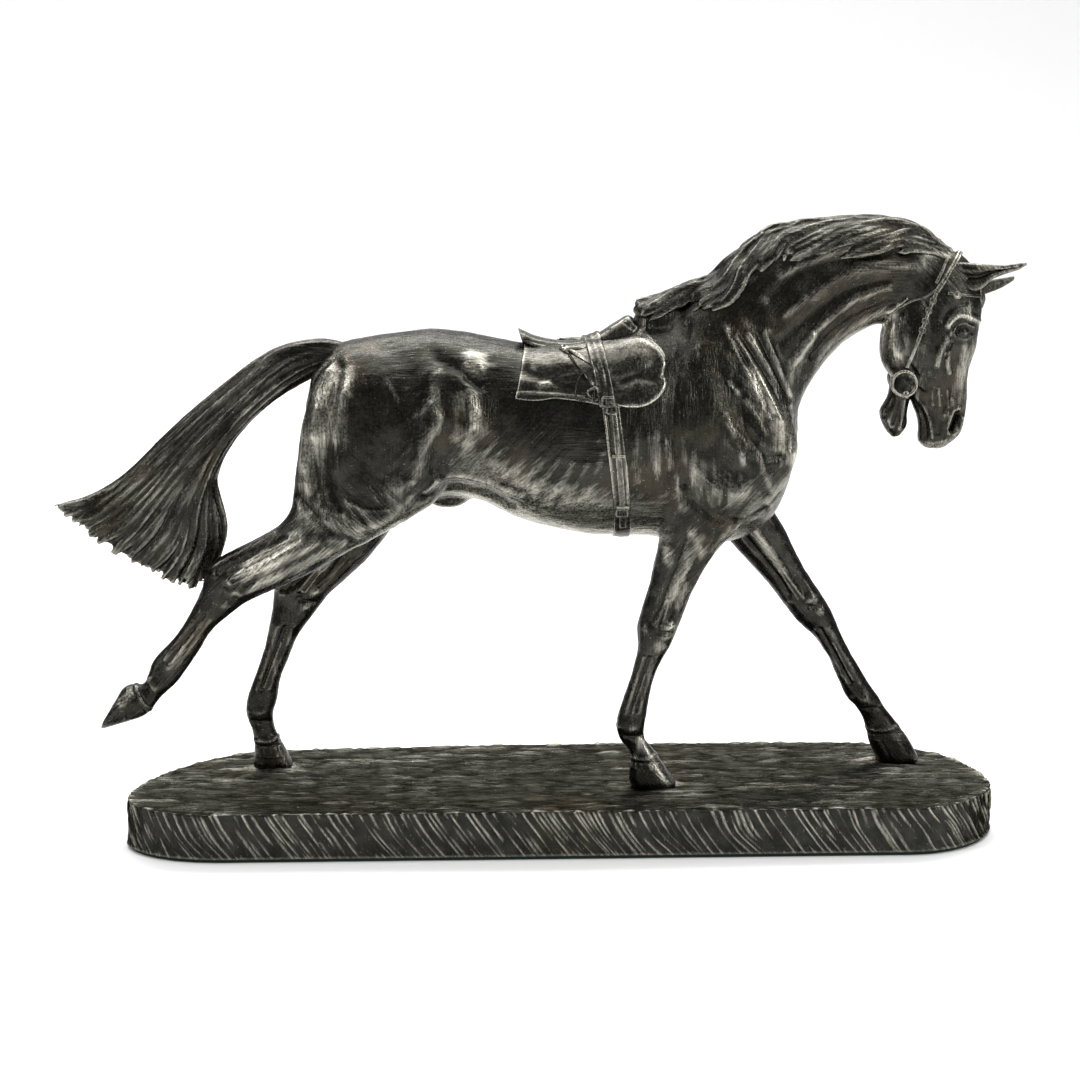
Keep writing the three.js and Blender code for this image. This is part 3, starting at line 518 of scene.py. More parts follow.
# A stroke is (path in the side view, width, how far it stands out, how bright its rubbed patina and painted
# highlight are).
# These are muscles, bones and folds, which both sides of the body have.
BODY_FORMS = [
    # the far legs
    ([(86, 119), (93, 104), (100, 90), (108.5, 74), (116, 60), (122.5, 47)], 1.8, 0.3, 1.1),
    ([(105, 77), (109.5, 71)], 2.2, 0.3, 0.9),
    ([(130, 38), (134.5, 31), (138.5, 25)], 1.5, 0.2, 1.1),
    ([(-111.5, 31), (-108, 25)], 1.4, 0.2, 0.9),
    ([(-112, 88), (-115, 76)], 1.2, 0.2, 0.7),
    # croup and haunch
    ([(-93, 178), (-96, 158), (-97, 140)], 4, 1.0, 0.1),
    ([(-84, 184), (-87, 165), (-88, 146), (-84, 130)], 2.2, -1.1, 0),
    ([(-91, 181), (-93, 168), (-96, 152), (-98, 140)], 5.0, 0.9, 0.7),
    ([(-82, 181), (-85, 172), (-88, 158)], 3.2, 0.4, 0.7),
    ([(-98, 130), (-86, 125), (-72, 125), (-61, 131)], 5, 0.3, 0.35),
    ([(-66, 188), (-72, 172), (-72, 150), (-66, 136)], 8, -0.9, 0),
    ([(-47, 187), (-38, 183), (-31, 178)], 2.6, -1.3, 0),
    ([(-34.5, 186), (-31.5, 184.8)], 3.0, 1.2, 1.0),
    ([(-50, 182), (-54, 168), (-57, 150)], 5, 0.9, 0.1),
    ([(-46, 176), (-44, 160), (-48, 146)], 3.2, -1.2, 0),
    ([(-57, 142), (-52, 155), (-46, 165)], 3.2, 0.9, 0.2),
    ([(-62, 138), (-66, 127), (-76, 121)], 5.5, 1.3, 0.35),
    ([(-52, 137), (-45, 141.5), (-38, 142), (-30, 140), (-15, 134)], 1.1, 0.8, 0.6),
    ([(-52, 134), (-44, 137.5), (-32, 136.5), (-18, 130.5)], 2.2, -0.9, 0),
    ([(-75, 121), (-62, 124)], 2.2, -0.7, 0),
    ([(-98, 132), (-90, 124), (-80, 118.5)], 1.8, -0.8, 0),
    # flank and ribs
    ([(-36, 172), (-33, 164), (-37, 157)], 3.4, 0.8, 0.75),
    ([(-24, 176), (-24, 160), (-28, 146)], 5, -0.7, 0),
    ([(-30, 150), (-18, 143), (-8, 130)], 4.2, 0.4, 0.2),
    ([(-2, 149), (-12, 132)], 1.9, 0.45, 0.28),
    ([(3.5, 148), (-5.5, 130)], 1.9, 0.45, 0.26),
    ([(9, 147), (1, 130)], 1.9, 0.4, 0.24),
    ([(15, 152), (9, 134)], 1.9, 0.35, 0.2),
    ([(-29, 147), (-16, 141), (-6, 136), (8, 133)], 6.5, 0.2, 0.38),
    ([(-35, 134), (-20, 128), (-5, 122.5), (5, 120), (20, 118.5), (38, 118.5)], 3.4, 0.3, 0.45),
    # shoulder and breast
    ([(48, 198), (44, 180), (42, 160), (46, 140)], 2.6, -1.2, 0),
    ([(34, 158), (36, 146)], 3.6, 0.6, 0.3),
    ([(28, 160), (28, 141)], 2.2, 0.4, 0.22),
    ([(47, 183), (57, 181.5), (66, 177)], 2.4, -0.6, 0),
    ([(52, 192), (56, 178), (60, 164), (66, 150)], 4.5, 0.8, 0.05),
    ([(62.5, 198.4), (67, 189), (71.5, 180)], 1.4, 0.5, 0.3),
    ([(66.5, 194), (75.5, 179.5), (83, 163)], 1.4, 0.7, 0.5),
    ([(71.5, 195), (81, 179.5), (87, 168)], 1.3, 0.8, 0.55),
    ([(78, 196), (83.3, 183), (87.6, 171.6)], 1.2, 0.7, 0.55),
    ([(64.5, 196), (73, 180), (80, 165)], 1.0, -0.7, 0),
    ([(69, 195), (78.5, 179.5), (85, 166)], 1.0, -0.8, 0),
    ([(75, 196), (82, 181), (87.4, 169.5)], 0.9, -0.7, 0),
    ([(72.5, 180), (80, 169), (86, 157), (88.5, 150)], 3.6, 1.0, 0.95),
    ([(63, 178), (72, 168), (78, 158)], 0.8, 0.5, 0.6),
    ([(68, 172), (70, 160), (78, 150), (84, 150)], 1.8, -1.0, 0),
    ([(62, 166), (66, 157), (69, 147)], 1.5, 0.7, 0.3),
    ([(74, 153), (77, 144), (80, 136)], 2.0, 0.8, 0.25),
    ([(86, 150), (86, 140), (80, 130)], 2.4, 0.9, 0.2),
    ([(84, 134), (78, 127.5), (66, 121.5)], 1.3, -0.8, 0),
    ([(46, 148), (56, 139), (68, 136)], 4.6, 0.7, 0.3),
    ([(40, 154), (44, 141), (46, 131)], 3.0, 0.7, 0.2),
    ([(50, 133), (58, 127), (66, 124)], 2.2, -0.8, 0),
    # neck
    ([(60, 211), (80, 222), (97, 226), (118, 231)], 3.4, 0.4, 0.1),
    ([(84, 217.5), (97.7, 223), (109.5, 227), (122, 229)], 1.8, 0.6, 0.4),
    ([(80, 209), (93, 219.5), (110, 223), (132, 226)], 2.6, -0.9, 0),
    ([(86, 203), (98, 211), (108, 217), (120, 220.5), (139, 220)], 2.6, 0.7, 0.22),
    ([(84, 192), (97, 203), (108, 210.5), (124, 215)], 2.2, -0.9, 0),
    ([(92, 186), (99, 196.5), (106, 202.5), (114, 208), (126, 212)], 2.2, 0.9, 0.4),
    ([(97, 186), (106, 195), (116, 201.5), (128, 206)], 1.8, -1.0, 0),
    ([(88, 164), (87.6, 177), (91.5, 187.5), (96.5, 194)], 2.0, 0.9, 0.9),
    ([(94, 172), (100, 183), (109, 193), (118, 198)], 1.8, 0.5, 0.2),
    ([(70, 203), (78, 196), (84, 188)], 3.0, -0.6, 0),
    ([(142, 226), (149, 225)], 2.2, 0.5, 0.7),
]

HEAD_FORMS = [
    ([(133, 193)], 8.5, 0.9, 0.1),
    ([(128.6, 200), (127.6, 193), (130, 186)], 2.3, 0.5, 0.9),
    ([(131.5, 204), (131, 194), (133.5, 185), (138, 178)], 1.2, -0.6, 0),
    ([(126.2, 202.2), (129.5, 204.6), (133.2, 207.7)], 0.7, 0.6, 0.6),
    ([(141, 207), (143, 198), (144, 190)], 2.0, -0.7, 0),
    ([(148.4, 192), (146.4, 187), (145.4, 182.4)], 1.3, 0.9, 0.65),
    ([(149, 187), (149.4, 182.5), (150.8, 179)], 1.2, 0.8, 0.5),
    ([(154, 187), (152.5, 178), (152, 170)], 1.8, -0.6, 0),
    ([(150.8, 191), (148.6, 185.5)], 0.6, -0.6, 0),
    ([(158.4, 188), (156, 179), (155, 167)], 2.6, 0.3, 0.6),
    ([(144, 172), (144.6, 166.5)], 0.7, 0.3, 0.3),
    ([(146.6, 173), (147.3, 166.5)], 0.7, 0.3, 0.3),
    ([(150.2, 172), (150.6, 165.5)], 0.7, 0.35, 0.35),
    ([(145.4, 172), (145.8, 166)], 0.5, -0.35, 0),
    ([(148.6, 172), (149.2, 166)], 0.5, -0.35, 0),
    ([(154.3, 196.3)], 4.2, -1.0, 0),
    ([(155.6, 195)], 1.7, 1.7, 0.0),
    ([(151.6, 195.4), (153.2, 197.4), (155.8, 198.2), (159.4, 196.8)], 0.6, 0.7, 0.22),
    ([(152, 194), (154, 192.4), (156.6, 192.2), (159, 193.4)], 0.55, 0.5, 0.12),
    ([(150.6, 194.4)], 0.8, 0.4, 0.8),
    # the brow ridge, raised and painted with a bright highlight
    ([(149.2, 197.8), (151.4, 200), (153.8, 201.2), (158, 200.6), (162, 198.8)], 1.2, 1.0, 1.6),
    ([(147, 200), (150.5, 204.5), (156, 206)], 1.3, -0.6, 0),
    ([(158.5, 203)], 2.6, 0.3, 0.5),
    ([(152.3, 156.9), (153.8, 159.8), (155, 162.4)], 1.25, -2.6, 0),
    ([(151.2, 155.4), (151.3, 159.5), (152.6, 163.6), (155, 165)], 0.75, 0.75, 0.6),
    ([(153.6, 154.8), (155.8, 157.6), (156.8, 161)], 0.7, 0.6, 0.6),
    ([(150.2, 162.8)], 1.7, 0.5, 0.6),
    ([(147.8, 160), (147, 155.5)], 1.2, -0.5, 0),
    ([(136.8, 169.4), (140.3, 164.2), (142.2, 158.4), (142.6, 154)], 0.8, -0.6, 0),
    ([(138.4, 169.6), (142.1, 164.6), (144.3, 158.6), (144.9, 153.4)], 0.7, 0.5, 0.4),
    ([(141, 151.8), (145, 151.2), (150, 152.4)], 0.8, 0.4, 0.3),
    ([(137, 174), (141, 171)], 1.2, -0.5, 0),
]

# Veins, chased lines and painted highlights that only one side shows.
NEAR_MARKS = [
    ([(31.5, 38), (35, 31), (39, 25), (42, 21)], 1.4, 0.2, 1.6),
    ([(42, 82.5)], 2.0, 0.4, 1.2),
    ([(38.5, 75)], 2.0, 0.3, 0.9),
    ([(40.5, 114), (40.5, 109)], 1.4, 0.2, 0.9),
    ([(50, 120), (53, 112)], 1.8, 0.3, 0.9),
    ([(47, 101), (44.5, 91)], 1.4, 0.3, 0.6),
    ([(-145, 77), (-150, 69)], 1.2, 0.3, 1.2),
    ([(-165.5, 59), (-168.5, 56)], 1.2, 0.2, 1.4),
    ([(-120, 106), (-108, 113), (-100, 118)], 3.0, 0.3, 1.0),
    ([(-120, 101), (-105, 106), (-90, 115)], 2.2, 0.2, 0.6),
    ([(-88, 184), (-81, 176)], 2.4, 0.1, 0.9),
    ([(-96.5, 160), (-97, 148), (-95.5, 136)], 1.1, 0.3, 0.8),
    ([(-94, 156), (-92.5, 142), (-90, 131)], 0.8, -0.5, 0),
    ([(-66, 180), (-62, 172)], 0.8, 0.25, 0.6),
    ([(-50, 180), (-46, 183)], 0.7, 0.3, 0.7),
    ([(-58, 165), (-50, 171)], 1.4, 0.25, 0.3),
    ([(-57, 141)], 1.2, 0.2, 0.9),
    ([(-82, 134), (-78, 128), (-75, 124)], 0.6, 0.35, 0.6),
    ([(-80, 133), (-74, 130.5), (-66, 131)], 0.6, 0.35, 0.55),
    ([(-73, 140), (-70, 134)], 0.6, 0.3, 0.5),
    ([(-68, 126), (-62, 131), (-58, 135)], 2.0, 0.2, 0.55),
    ([(-85, 126), (-79, 118)], 0.6, 0.35, 0.5),
    ([(-34, 160)], 1.0, -0.5, 0),
    ([(-34, 168), (-36, 160)], 2.2, 0.1, 0.7),
    ([(-36, 180), (-31, 176)], 1.3, -0.7, 0),
    ([(13.5, 157)], 1.0, 0.2, 0.8),
    ([(80, 196.5), (82.3, 191)], 0.9, 0.3, 0.8),
    ([(62, 163), (66, 158)], 0.7, 0.35, 0.7),
    ([(66, 160), (70, 154), (69, 148)], 0.7, 0.35, 0.6),
    ([(76, 151), (77, 145)], 0.7, 0.3, 0.6),
    ([(40, 156), (40.5, 144)], 1.8, 0.2, 0.4),
    ([(99.3, 197), (106, 202), (113.7, 208), (125, 212.7)], 1.0, 0.3, 0.35),
]

# Leg forms are set out by rib (by its place in the leg's list, counted from the top) and by how far across
# the leg they lie, from -1 at its rear edge to 1 at its front edge.
# Places: top, arm, joint, cannon, low, fetlock, crown and sole.
FORE_PLACES = (1.2, 3.4, 5, 6.5, 9.2, 10.2, 12.2, 14)
RIGHT_HIND_PLACES = (1.2, 3, 4.3, 5.6, 7.6, 9, 10.6, 12)
LEFT_HIND_PLACES = (1, 2.6, 4, 5.4, 8.4, 9.8, 11.6, 13)
LEGS = {
    "right_foreleg": (RIGHT_FORE, FORE_PLACES, False),
    "left_foreleg": (LEFT_FORE, FORE_PLACES, False),
    "right_hindleg": (RIGHT_HIND, RIGHT_HIND_PLACES, True),
    "left_hindleg": (LEFT_HIND, LEFT_HIND_PLACES, True),
}


def leg_forms(places, hind):
    """(path of (rib, across) points, width, lift, rub and painted highlight) for a leg."""
    top, arm, joint, cannon, low, fetlock, crown, sole = places
    forms = [
        ([(top, -0.35), (arm, -0.3), (joint - 0.5, -0.45)], 1.1, -0.7, 0),
        ([(top, 0.3), (arm, 0.35), (joint - 0.6, 0.3)], 1.0, -0.5, 0),
        ([(top, 0.02), (arm, 0.05)], 2.4, 0.5, 0.55),
        ([(top, 0.68), (arm, 0.7), (joint - 0.3, 0.6)], 1.4, 0.45, 0.2),
        ([(arm, 0.05), (joint - 0.3, 0.05)], 0.5, 0.35, 0.6),
        ([(arm, -0.12), (joint - 0.3, -0.2)], 0.45, 0.3, 0.55),
        ([(joint - 0.25, 0.4)], 1.9, 0.7, 0.7),
        ([(joint + 0.45, 0.45)], 1.7, 0.5, 0.6),
        ([(joint - 0.1, -0.7)], 1.5, 0.5, 0.3),
        ([(joint + 0.1, 0.0), (joint + 0.2, 0.6)], 0.8, -0.5, 0),
        ([(cannon, -0.12), (low, -0.25)], 0.75, -0.75, 0),
        ([(cannon, 0.4), (low, 0.35)], 1.1, 0.35, 0.35),
        ([(cannon, -0.5), (low, -0.55)], 0.7, 0.35, 0.4),
        ([(cannon + 0.8, 0.02), (low - 0.1, -0.1)], 0.45, 0.35, 0.7),
        ([(fetlock, 0.05)], 2.0, 0.5, 0.3),
        ([(fetlock - 0.1, -0.8)], 1.3, 0.5, 0.25),
        ([(fetlock + 0.5, -0.6), (fetlock + 0.6, 0.7)], 0.9, -0.45, 0),
        ([(crown, -1.0), (crown + 0.12, 0), (crown, 1.0)], 0.9, 0.6, 0.25),
        ([(crown + 0.35, -1.0), (crown + 0.4, 1.0)], 0.45, -0.35, 0),
        ([(crown + 0.8, -0.9), (crown + 0.85, 0.9)], 0.4, 0.15, 0.1),
        ([(crown + 0.35, -0.45), (sole, -0.35)], 0.7, -0.3, 0),
        ([(crown + 0.3, 0.75), (sole - 0.1, 0.85)], 0.9, 0.1, 0.7),
    ]
    if hind:
        forms += [
            ([(top, -0.62), (arm, -0.6), (joint - 0.35, -0.62)], 1.0, -0.9, 0),
            ([(top, -0.88), (arm, -0.85), (joint - 0.3, -0.9)], 0.9, 0.5, 0.45),
            ([(joint - 0.15, -0.1)], 1.6, -0.6, 0),
            ([(joint - 0.3, -0.05)], 0.9, 0.4, 0.8),
        ]
    return forms


def on_leg(ribs, path):
    """Side-view points of a path given by rib and distance across."""
    r = np.array(ribs, float)
    out = []
    for place, across in path:
        rib = [np.interp(place, np.arange(len(r)), r[:, k]) for k in range(4)]
        out.append((
            (rib[0] + rib[2]) / 2 + across * (rib[2] - rib[0]) / 2,
            (rib[1] + rib[3]) / 2 + across * (rib[3] - rib[1]) / 2,
        ))
    return out


def distance_to_path(xz, path):
    """How far side-view points lie from a path."""
    if len(path) == 1:
        return np.hypot(xz[:, 0] - path[0][0], xz[:, 1] - path[0][1])
    if len(path) > 2:
        path = smooth_line(path, 5 * len(path))
    best = np.full(len(xz), 1e9)
    for (ax, az), (bx, bz) in zip(path[:-1], path[1:]):
        dx, dz = bx - ax, bz - az
        t = ((xz[:, 0] - ax) * dx + (xz[:, 1] - az) * dz) / (dx * dx + dz * dz + 1e-9)
        t = np.clip(t, 0, 1)
        best = np.minimum(best, np.hypot(xz[:, 0] - ax - t * dx, xz[:, 1] - az - t * dz))
    return best


def carve(p, n, forms, low, high, side, lift, rub_and_highlight):
    """Adds strokes to lift and to rub and painted highlight on the surface that faces one side and lies
    between low and high in Y.
    """
    facing = np.clip(n[:, 1] * side * 2.2 + 0.15, 0, 1)
    here = (p[:, 1] > low) & (p[:, 1] < high) & (facing > 0)
    for path, width, height, bright in forms:
        reach = 2.4 * width
        xs = [q[0] for q in path]
        zs = [q[1] for q in path]
        near = here & (p[:, 0] > min(xs) - reach) & (p[:, 0] < max(xs) + reach)
        near &= (p[:, 2] > min(zs) - reach) & (p[:, 2] < max(zs) + reach)
        near = np.nonzero(near)[0]
        if len(near) == 0:
            continue
        d = distance_to_path(p[near][:, [0, 2]], path)
        fall = np.exp(-((d / width) ** 2) * 1.2) * facing[near]
        lift[near] += height * fall
        if bright:
            shine = bright * min(1.0, 0.2 + width / 4)
            rub_and_highlight[near] = np.maximum(rub_and_highlight[near], shine * np.exp(-((d / width) ** 2) * 0.6) * facing[near])


def carve_horse(p, n):
    """How far each point of the horse's skin stands out, and how bright its rubbed patina and painted
    highlight are.
    """
    lift = np.zeros(len(p))
    rub_and_highlight = np.zeros(len(p))
    for side, low, high in ((-1, -60, 0.5), (1, -0.5, 60)):
        for forms in (BODY_FORMS, HEAD_FORMS):
            carve(p, n, forms, low, high, side, lift, rub_and_highlight)
    carve(p, n, NEAR_MARKS, -60, 0, -1, lift, rub_and_highlight)
    for ribs, places, hind in LEGS.values():
        middle = ribs[6][5]
        forms = [(on_leg(ribs, path), *rest) for path, *rest in leg_forms(places, hind)]
        for side, low, high in ((-1, middle - 13, middle + 1), (1, middle - 1, middle + 13)):
            carve(p, n, forms, low, high, side, lift, rub_and_highlight)
    return lift, rub_and_highlight

# ---------------------------------------------------------------- materials

DARK = (0.024, 0.0235, 0.020)
BROWN = (0.050, 0.037, 0.024)
# the pale colour of rubbed patina and of painted highlights and reflections
RUB_AND_HIGHLIGHT_COLOUR = (0.60, 0.575, 0.49)


def node(tree, kind, **settings):
    """A new node with its settings."""
    made = tree.nodes.new(kind)
    for key, value in settings.items():
        setattr(made, key, value)
    return made


def sums(tree, operation, first, second):
    """A Math node fed by sockets or numbers."""
    made = node(tree, "ShaderNodeMath", operation=operation)
    for socket, value in zip(made.inputs, (first, second)):
        if isinstance(value, (int, float)):
            socket.default_value = value
        else:
            tree.links.new(value, socket)
    return made.outputs[0]


def between(tree, value, low, high, to_low=0.0, to_high=1.0, smooth=True):
    """A value carried from one range to another, and held at its ends."""
    made = node(tree, "ShaderNodeMapRange", interpolation_type="SMOOTHSTEP" if smooth else "LINEAR")
    tree.links.new(value, made.inputs["Value"])
    made.inputs["From Min"].default_value = low
    made.inputs["From Max"].default_value = high
    made.inputs["To Min"].default_value = to_low
    made.inputs["To Max"].default_value = to_high
    return made.outputs["Result"]


def blend(tree, share, first, second):
    """A colour mixed from two, each a socket or an RGB."""
    made = node(tree, "ShaderNodeMix", data_type="RGBA")
    tree.links.new(share, made.inputs[0])
    for socket, value in ((made.inputs[6], first), (made.inputs[7], second)):
        if isinstance(value, tuple):
            socket.default_value = (*value, 1)
        else:
            tree.links.new(value, socket)
    return made.outputs[2]


def texture(tree, vector, scale, detail=2.0):
    """A noise texture's value."""
    made = node(tree, "ShaderNodeTexNoise")
    tree.links.new(vector, made.inputs["Vector"])
    made.inputs["Scale"].default_value = scale
    made.inputs["Detail"].default_value = detail
    return made.outputs["Fac"]


def fresh_material(name):
    """A new material: (material, its node tree, its shader, the object's own coordinates)."""
    material = bpy.data.materials.new(name)
    material.use_nodes = True
    tree = material.node_tree
    return material, tree, tree.nodes["Principled BSDF"], node(tree, "ShaderNodeTexCoord").outputs["Object"]


def roughen(tree, shader, height, strength, depth):
    """Bumps on a shader, as deep as depth in millimetres."""
    bump = node(tree, "ShaderNodeBump")
    bump.inputs["Strength"].default_value = strength
    bump.inputs["Distance"].default_value = depth * MM
    tree.links.new(height, bump.inputs["Height"])
    tree.links.new(bump.outputs[0], shader.inputs["Normal"])


def stretched(tree, where, angle, length, width):
    """Noise drawn out along a direction in the side view, in millimetres."""
    turned = node(tree, "ShaderNodeVectorRotate", rotation_type="Y_AXIS")
    tree.links.new(where, turned.inputs["Vector"])
    turned.inputs["Angle"].default_value = angle
    sized = node(tree, "ShaderNodeVectorMath", operation="MULTIPLY")
    tree.links.new(turned.outputs[0], sized.inputs[0])
    sized.inputs[1].default_value = (1 / (length * MM), 1 / (width * 1.5 * MM), 1 / (width * MM))
    return texture(tree, sized.outputs[0], 1.0)


def bronze(name, length=8.0, width=0.62, depth=0.26, dark=DARK, gloss=0.28, edge=0.75):
    """Dark patinated bronze, brushed along the flow that the mesh carries, and rubbed bright and painted with
    highlights and reflections where it says.
    """
    material, tree, shader, where = fresh_material(name)
    flow = node(tree, "ShaderNodeAttribute", attribute_name="flow")
    parts = node(tree, "ShaderNodeSeparateColor")
    tree.links.new(flow.outputs["Color"], parts.inputs[0])
    shares = [parts.outputs[0], parts.outputs[1], parts.outputs[2], flow.outputs["Alpha"]]
    strokes = None
    for angle, share in zip(FLOW_ANGLES, shares):
        one = stretched(tree, where, float(angle), length, width)
        weighed = sums(tree, "MULTIPLY", one, share)
        strokes = weighed if strokes is None else sums(tree, "ADD", strokes, weighed)
    rub_and_highlight = node(tree, "ShaderNodeAttribute", attribute_name="rub_and_highlight").outputs["Fac"]
    tint = node(tree, "ShaderNodeAttribute", attribute_name="tint").outputs["Fac"]
    blotch = texture(tree, where, 1 / (7 * MM), 3.0)
    speckle = texture(tree, where, 1 / (0.9 * MM))
    streak = between(tree, strokes, 0.3, 0.7, 0.4, 1.45, smooth=False)
    streak = sums(tree, "MULTIPLY", streak, between(tree, speckle, 0.3, 0.7, 0.75, 1.2, smooth=False))
    specks = between(tree, texture(tree, where, 1 / (0.55 * MM), 0.0), 0.76, 0.84, 0.0, 0.3)
    # The rub attribute, with painted highlights and reflections in it, broken along the strokes, becomes the
    # mask for the pale colour.
    rub_and_highlight_amount = sums(tree, "ADD", sums(tree, "MULTIPLY", rub_and_highlight, streak), specks)
    rub_and_highlight_mask = between(tree, rub_and_highlight_amount, 0.1, 1.05, smooth=False)
    patina = blend(tree, between(tree, blotch, 0.35, 0.7), dark, tuple(1.9 * c for c in dark))
    patina = blend(tree, between(tree, strokes, 0.4, 0.75, 0.0, 0.5), patina, tuple(2.4 * c for c in dark))
    patina = blend(tree, sums(tree, "MULTIPLY", tint, between(tree, blotch, 0.3, 0.6)), patina, BROWN)
    tree.links.new(blend(tree, rub_and_highlight_mask, patina, RUB_AND_HIGHLIGHT_COLOUR), shader.inputs["Base Color"])
    rough = between(tree, speckle, 0.3, 0.7, gloss - 0.06, gloss + 0.12)
    tree.links.new(rough, shader.inputs["Roughness"])
    shader.inputs["Metallic"].default_value = 1.0
    shader.inputs["Specular Tint"].default_value = (edge, edge, edge, 1)
    roughen(tree, shader, sums(tree, "ADD", strokes, sums(tree, "MULTIPLY", speckle, 0.22)), 1.0, depth)
    return material


def plain(name, colour, metallic, roughness, grain=0.4, depth=0.05):
    """A finish with a fine grain, for the fixings and the pad."""
    material, tree, shader, where = fresh_material(name)
    fine = texture(tree, where, 1 / (grain * MM), 3.0)
    darker = tuple(0.75 * c for c in colour)
    tree.links.new(blend(tree, between(tree, fine, 0.3, 0.7), darker, colour), shader.inputs["Base Color"])
    shader.inputs["Metallic"].default_value = metallic
    shader.inputs["Roughness"].default_value = roughness
    roughen(tree, shader, fine, 0.6, depth)
    return material


HORSE_BRONZE = bronze("horse_bronze")
HAIR_BRONZE = bronze("hair_bronze", 14, 0.5)
TACK_BRONZE = bronze("tack_bronze", 4, 0.6, 0.1, dark=(0.036, 0.034, 0.029))
TURF_BRONZE = bronze("turf_bronze", 7, 0.6, 0.5, dark=(0.024, 0.024, 0.021), gloss=0.4, edge=0.12)

# ---------------------------------------------------------------- pieces


def finished(name, points, faces, material, replaced, rub_and_highlight, flow, tint=None, normals=None):
    """Makes a piece in metres from a mesh in millimetres, in place of a CAD node."""
    faces = [np.asarray(f) for f in faces] if isinstance(faces, list) else list(faces)
    sizes = np.array([len(f) for f in faces], np.int32)
    corners = np.concatenate(faces).astype(np.int32)
    mesh = bpy.data.meshes.new(name)
    mesh.vertices.add(len(points))
    mesh.vertices.foreach_set("co", (np.asarray(points) * MM).astype(np.float32).ravel())
    mesh.loops.add(len(corners))
    mesh.loops.foreach_set("vertex_index", corners)
    mesh.polygons.add(len(faces))
    mesh.polygons.foreach_set("loop_start", np.concatenate([[0], np.cumsum(sizes)[:-1]]).astype(np.int32))
    mesh.polygons.foreach_set("loop_total", sizes)
    mesh.polygons.foreach_set("use_smooth", np.ones(len(faces), bool))
    mesh.update(calc_edges=True)
    mesh.validate()
    count = len(points)
    for key, values in (("rub_and_highlight", rub_and_highlight), ("tint", tint)):
        layer = mesh.attributes.new(key, "FLOAT", "POINT")
        values = np.zeros(count) if values is None else values
        layer.data.foreach_set("value", np.clip(values, 0, 1).astype(np.float32))
    layer = mesh.attributes.new("flow", "FLOAT_COLOR", "POINT")
    layer.data.foreach_set("color", flow.astype(np.float32).ravel())
    if normals is not None:
        mesh.normals_split_custom_set_from_vertices([tuple(v) for v in normals])
    mesh.materials.append(material)
    made = bpy.data.objects.new(name, mesh)
    bpy.context.scene.collection.objects.link(made)
    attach(made, "root")
    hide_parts(replaced)


def beyond(joint, p):
    """How far points lie past a joint line, on the left of its direction."""
    (x1, z1), (x2, z2) = joint
    reach = math.hypot(x2 - x1, z2 - z1)
    return (-(z2 - z1) * (p[:, 0] - x1) + (x2 - x1) * (p[:, 2] - z1)) / reach


def sections(centres):
    """Which cast section each face of the skin belongs to."""
    x, y, z = centres.T
    names = np.full(len(centres), "torso", dtype=object)
    past_neck = (beyond(NECK_JOINT, centres) > 0) & (z > 140)
    names[past_neck] = "neck"
    names[past_neck & (beyond(POLL_JOINT, centres) > 0)] = "head"
    names[(beyond(RIGHT_FORE_JOINT, centres) < 0) & (y < -9) & (x > 0)] = "right_foreleg"
    names[(beyond(LEFT_FORE_JOINT, centres) < 0) & (y > 9) & (x > 50) & (z < 125)] = "left_foreleg"
    names[(beyond(RIGHT_HIND_JOINT, centres) < 0) & (y < -8) & (x < -80)] = "right_hindleg"
    names[(beyond(LEFT_HIND_JOINT, centres) < 0) & (y > 8) & (x < -50)] = "left_hindleg"
    return names


def open_loops(quads):
    """The rings of points round an open mesh's holes, in order."""
    known = {(int(a), int(b)) for a, b in sides_of(quads)}
    following = {b: a for a, b in known if (b, a) not in known}
    loops = []
    while following:
        start, point = following.popitem()
        loop = [start]
        while point != start:
            loop.append(point)
            point = following.pop(point, start)
        loops.append(loop)
    return loops


HALO_RINGS = 3  # rows of neighbouring faces a section is shaped with, so that its edges match


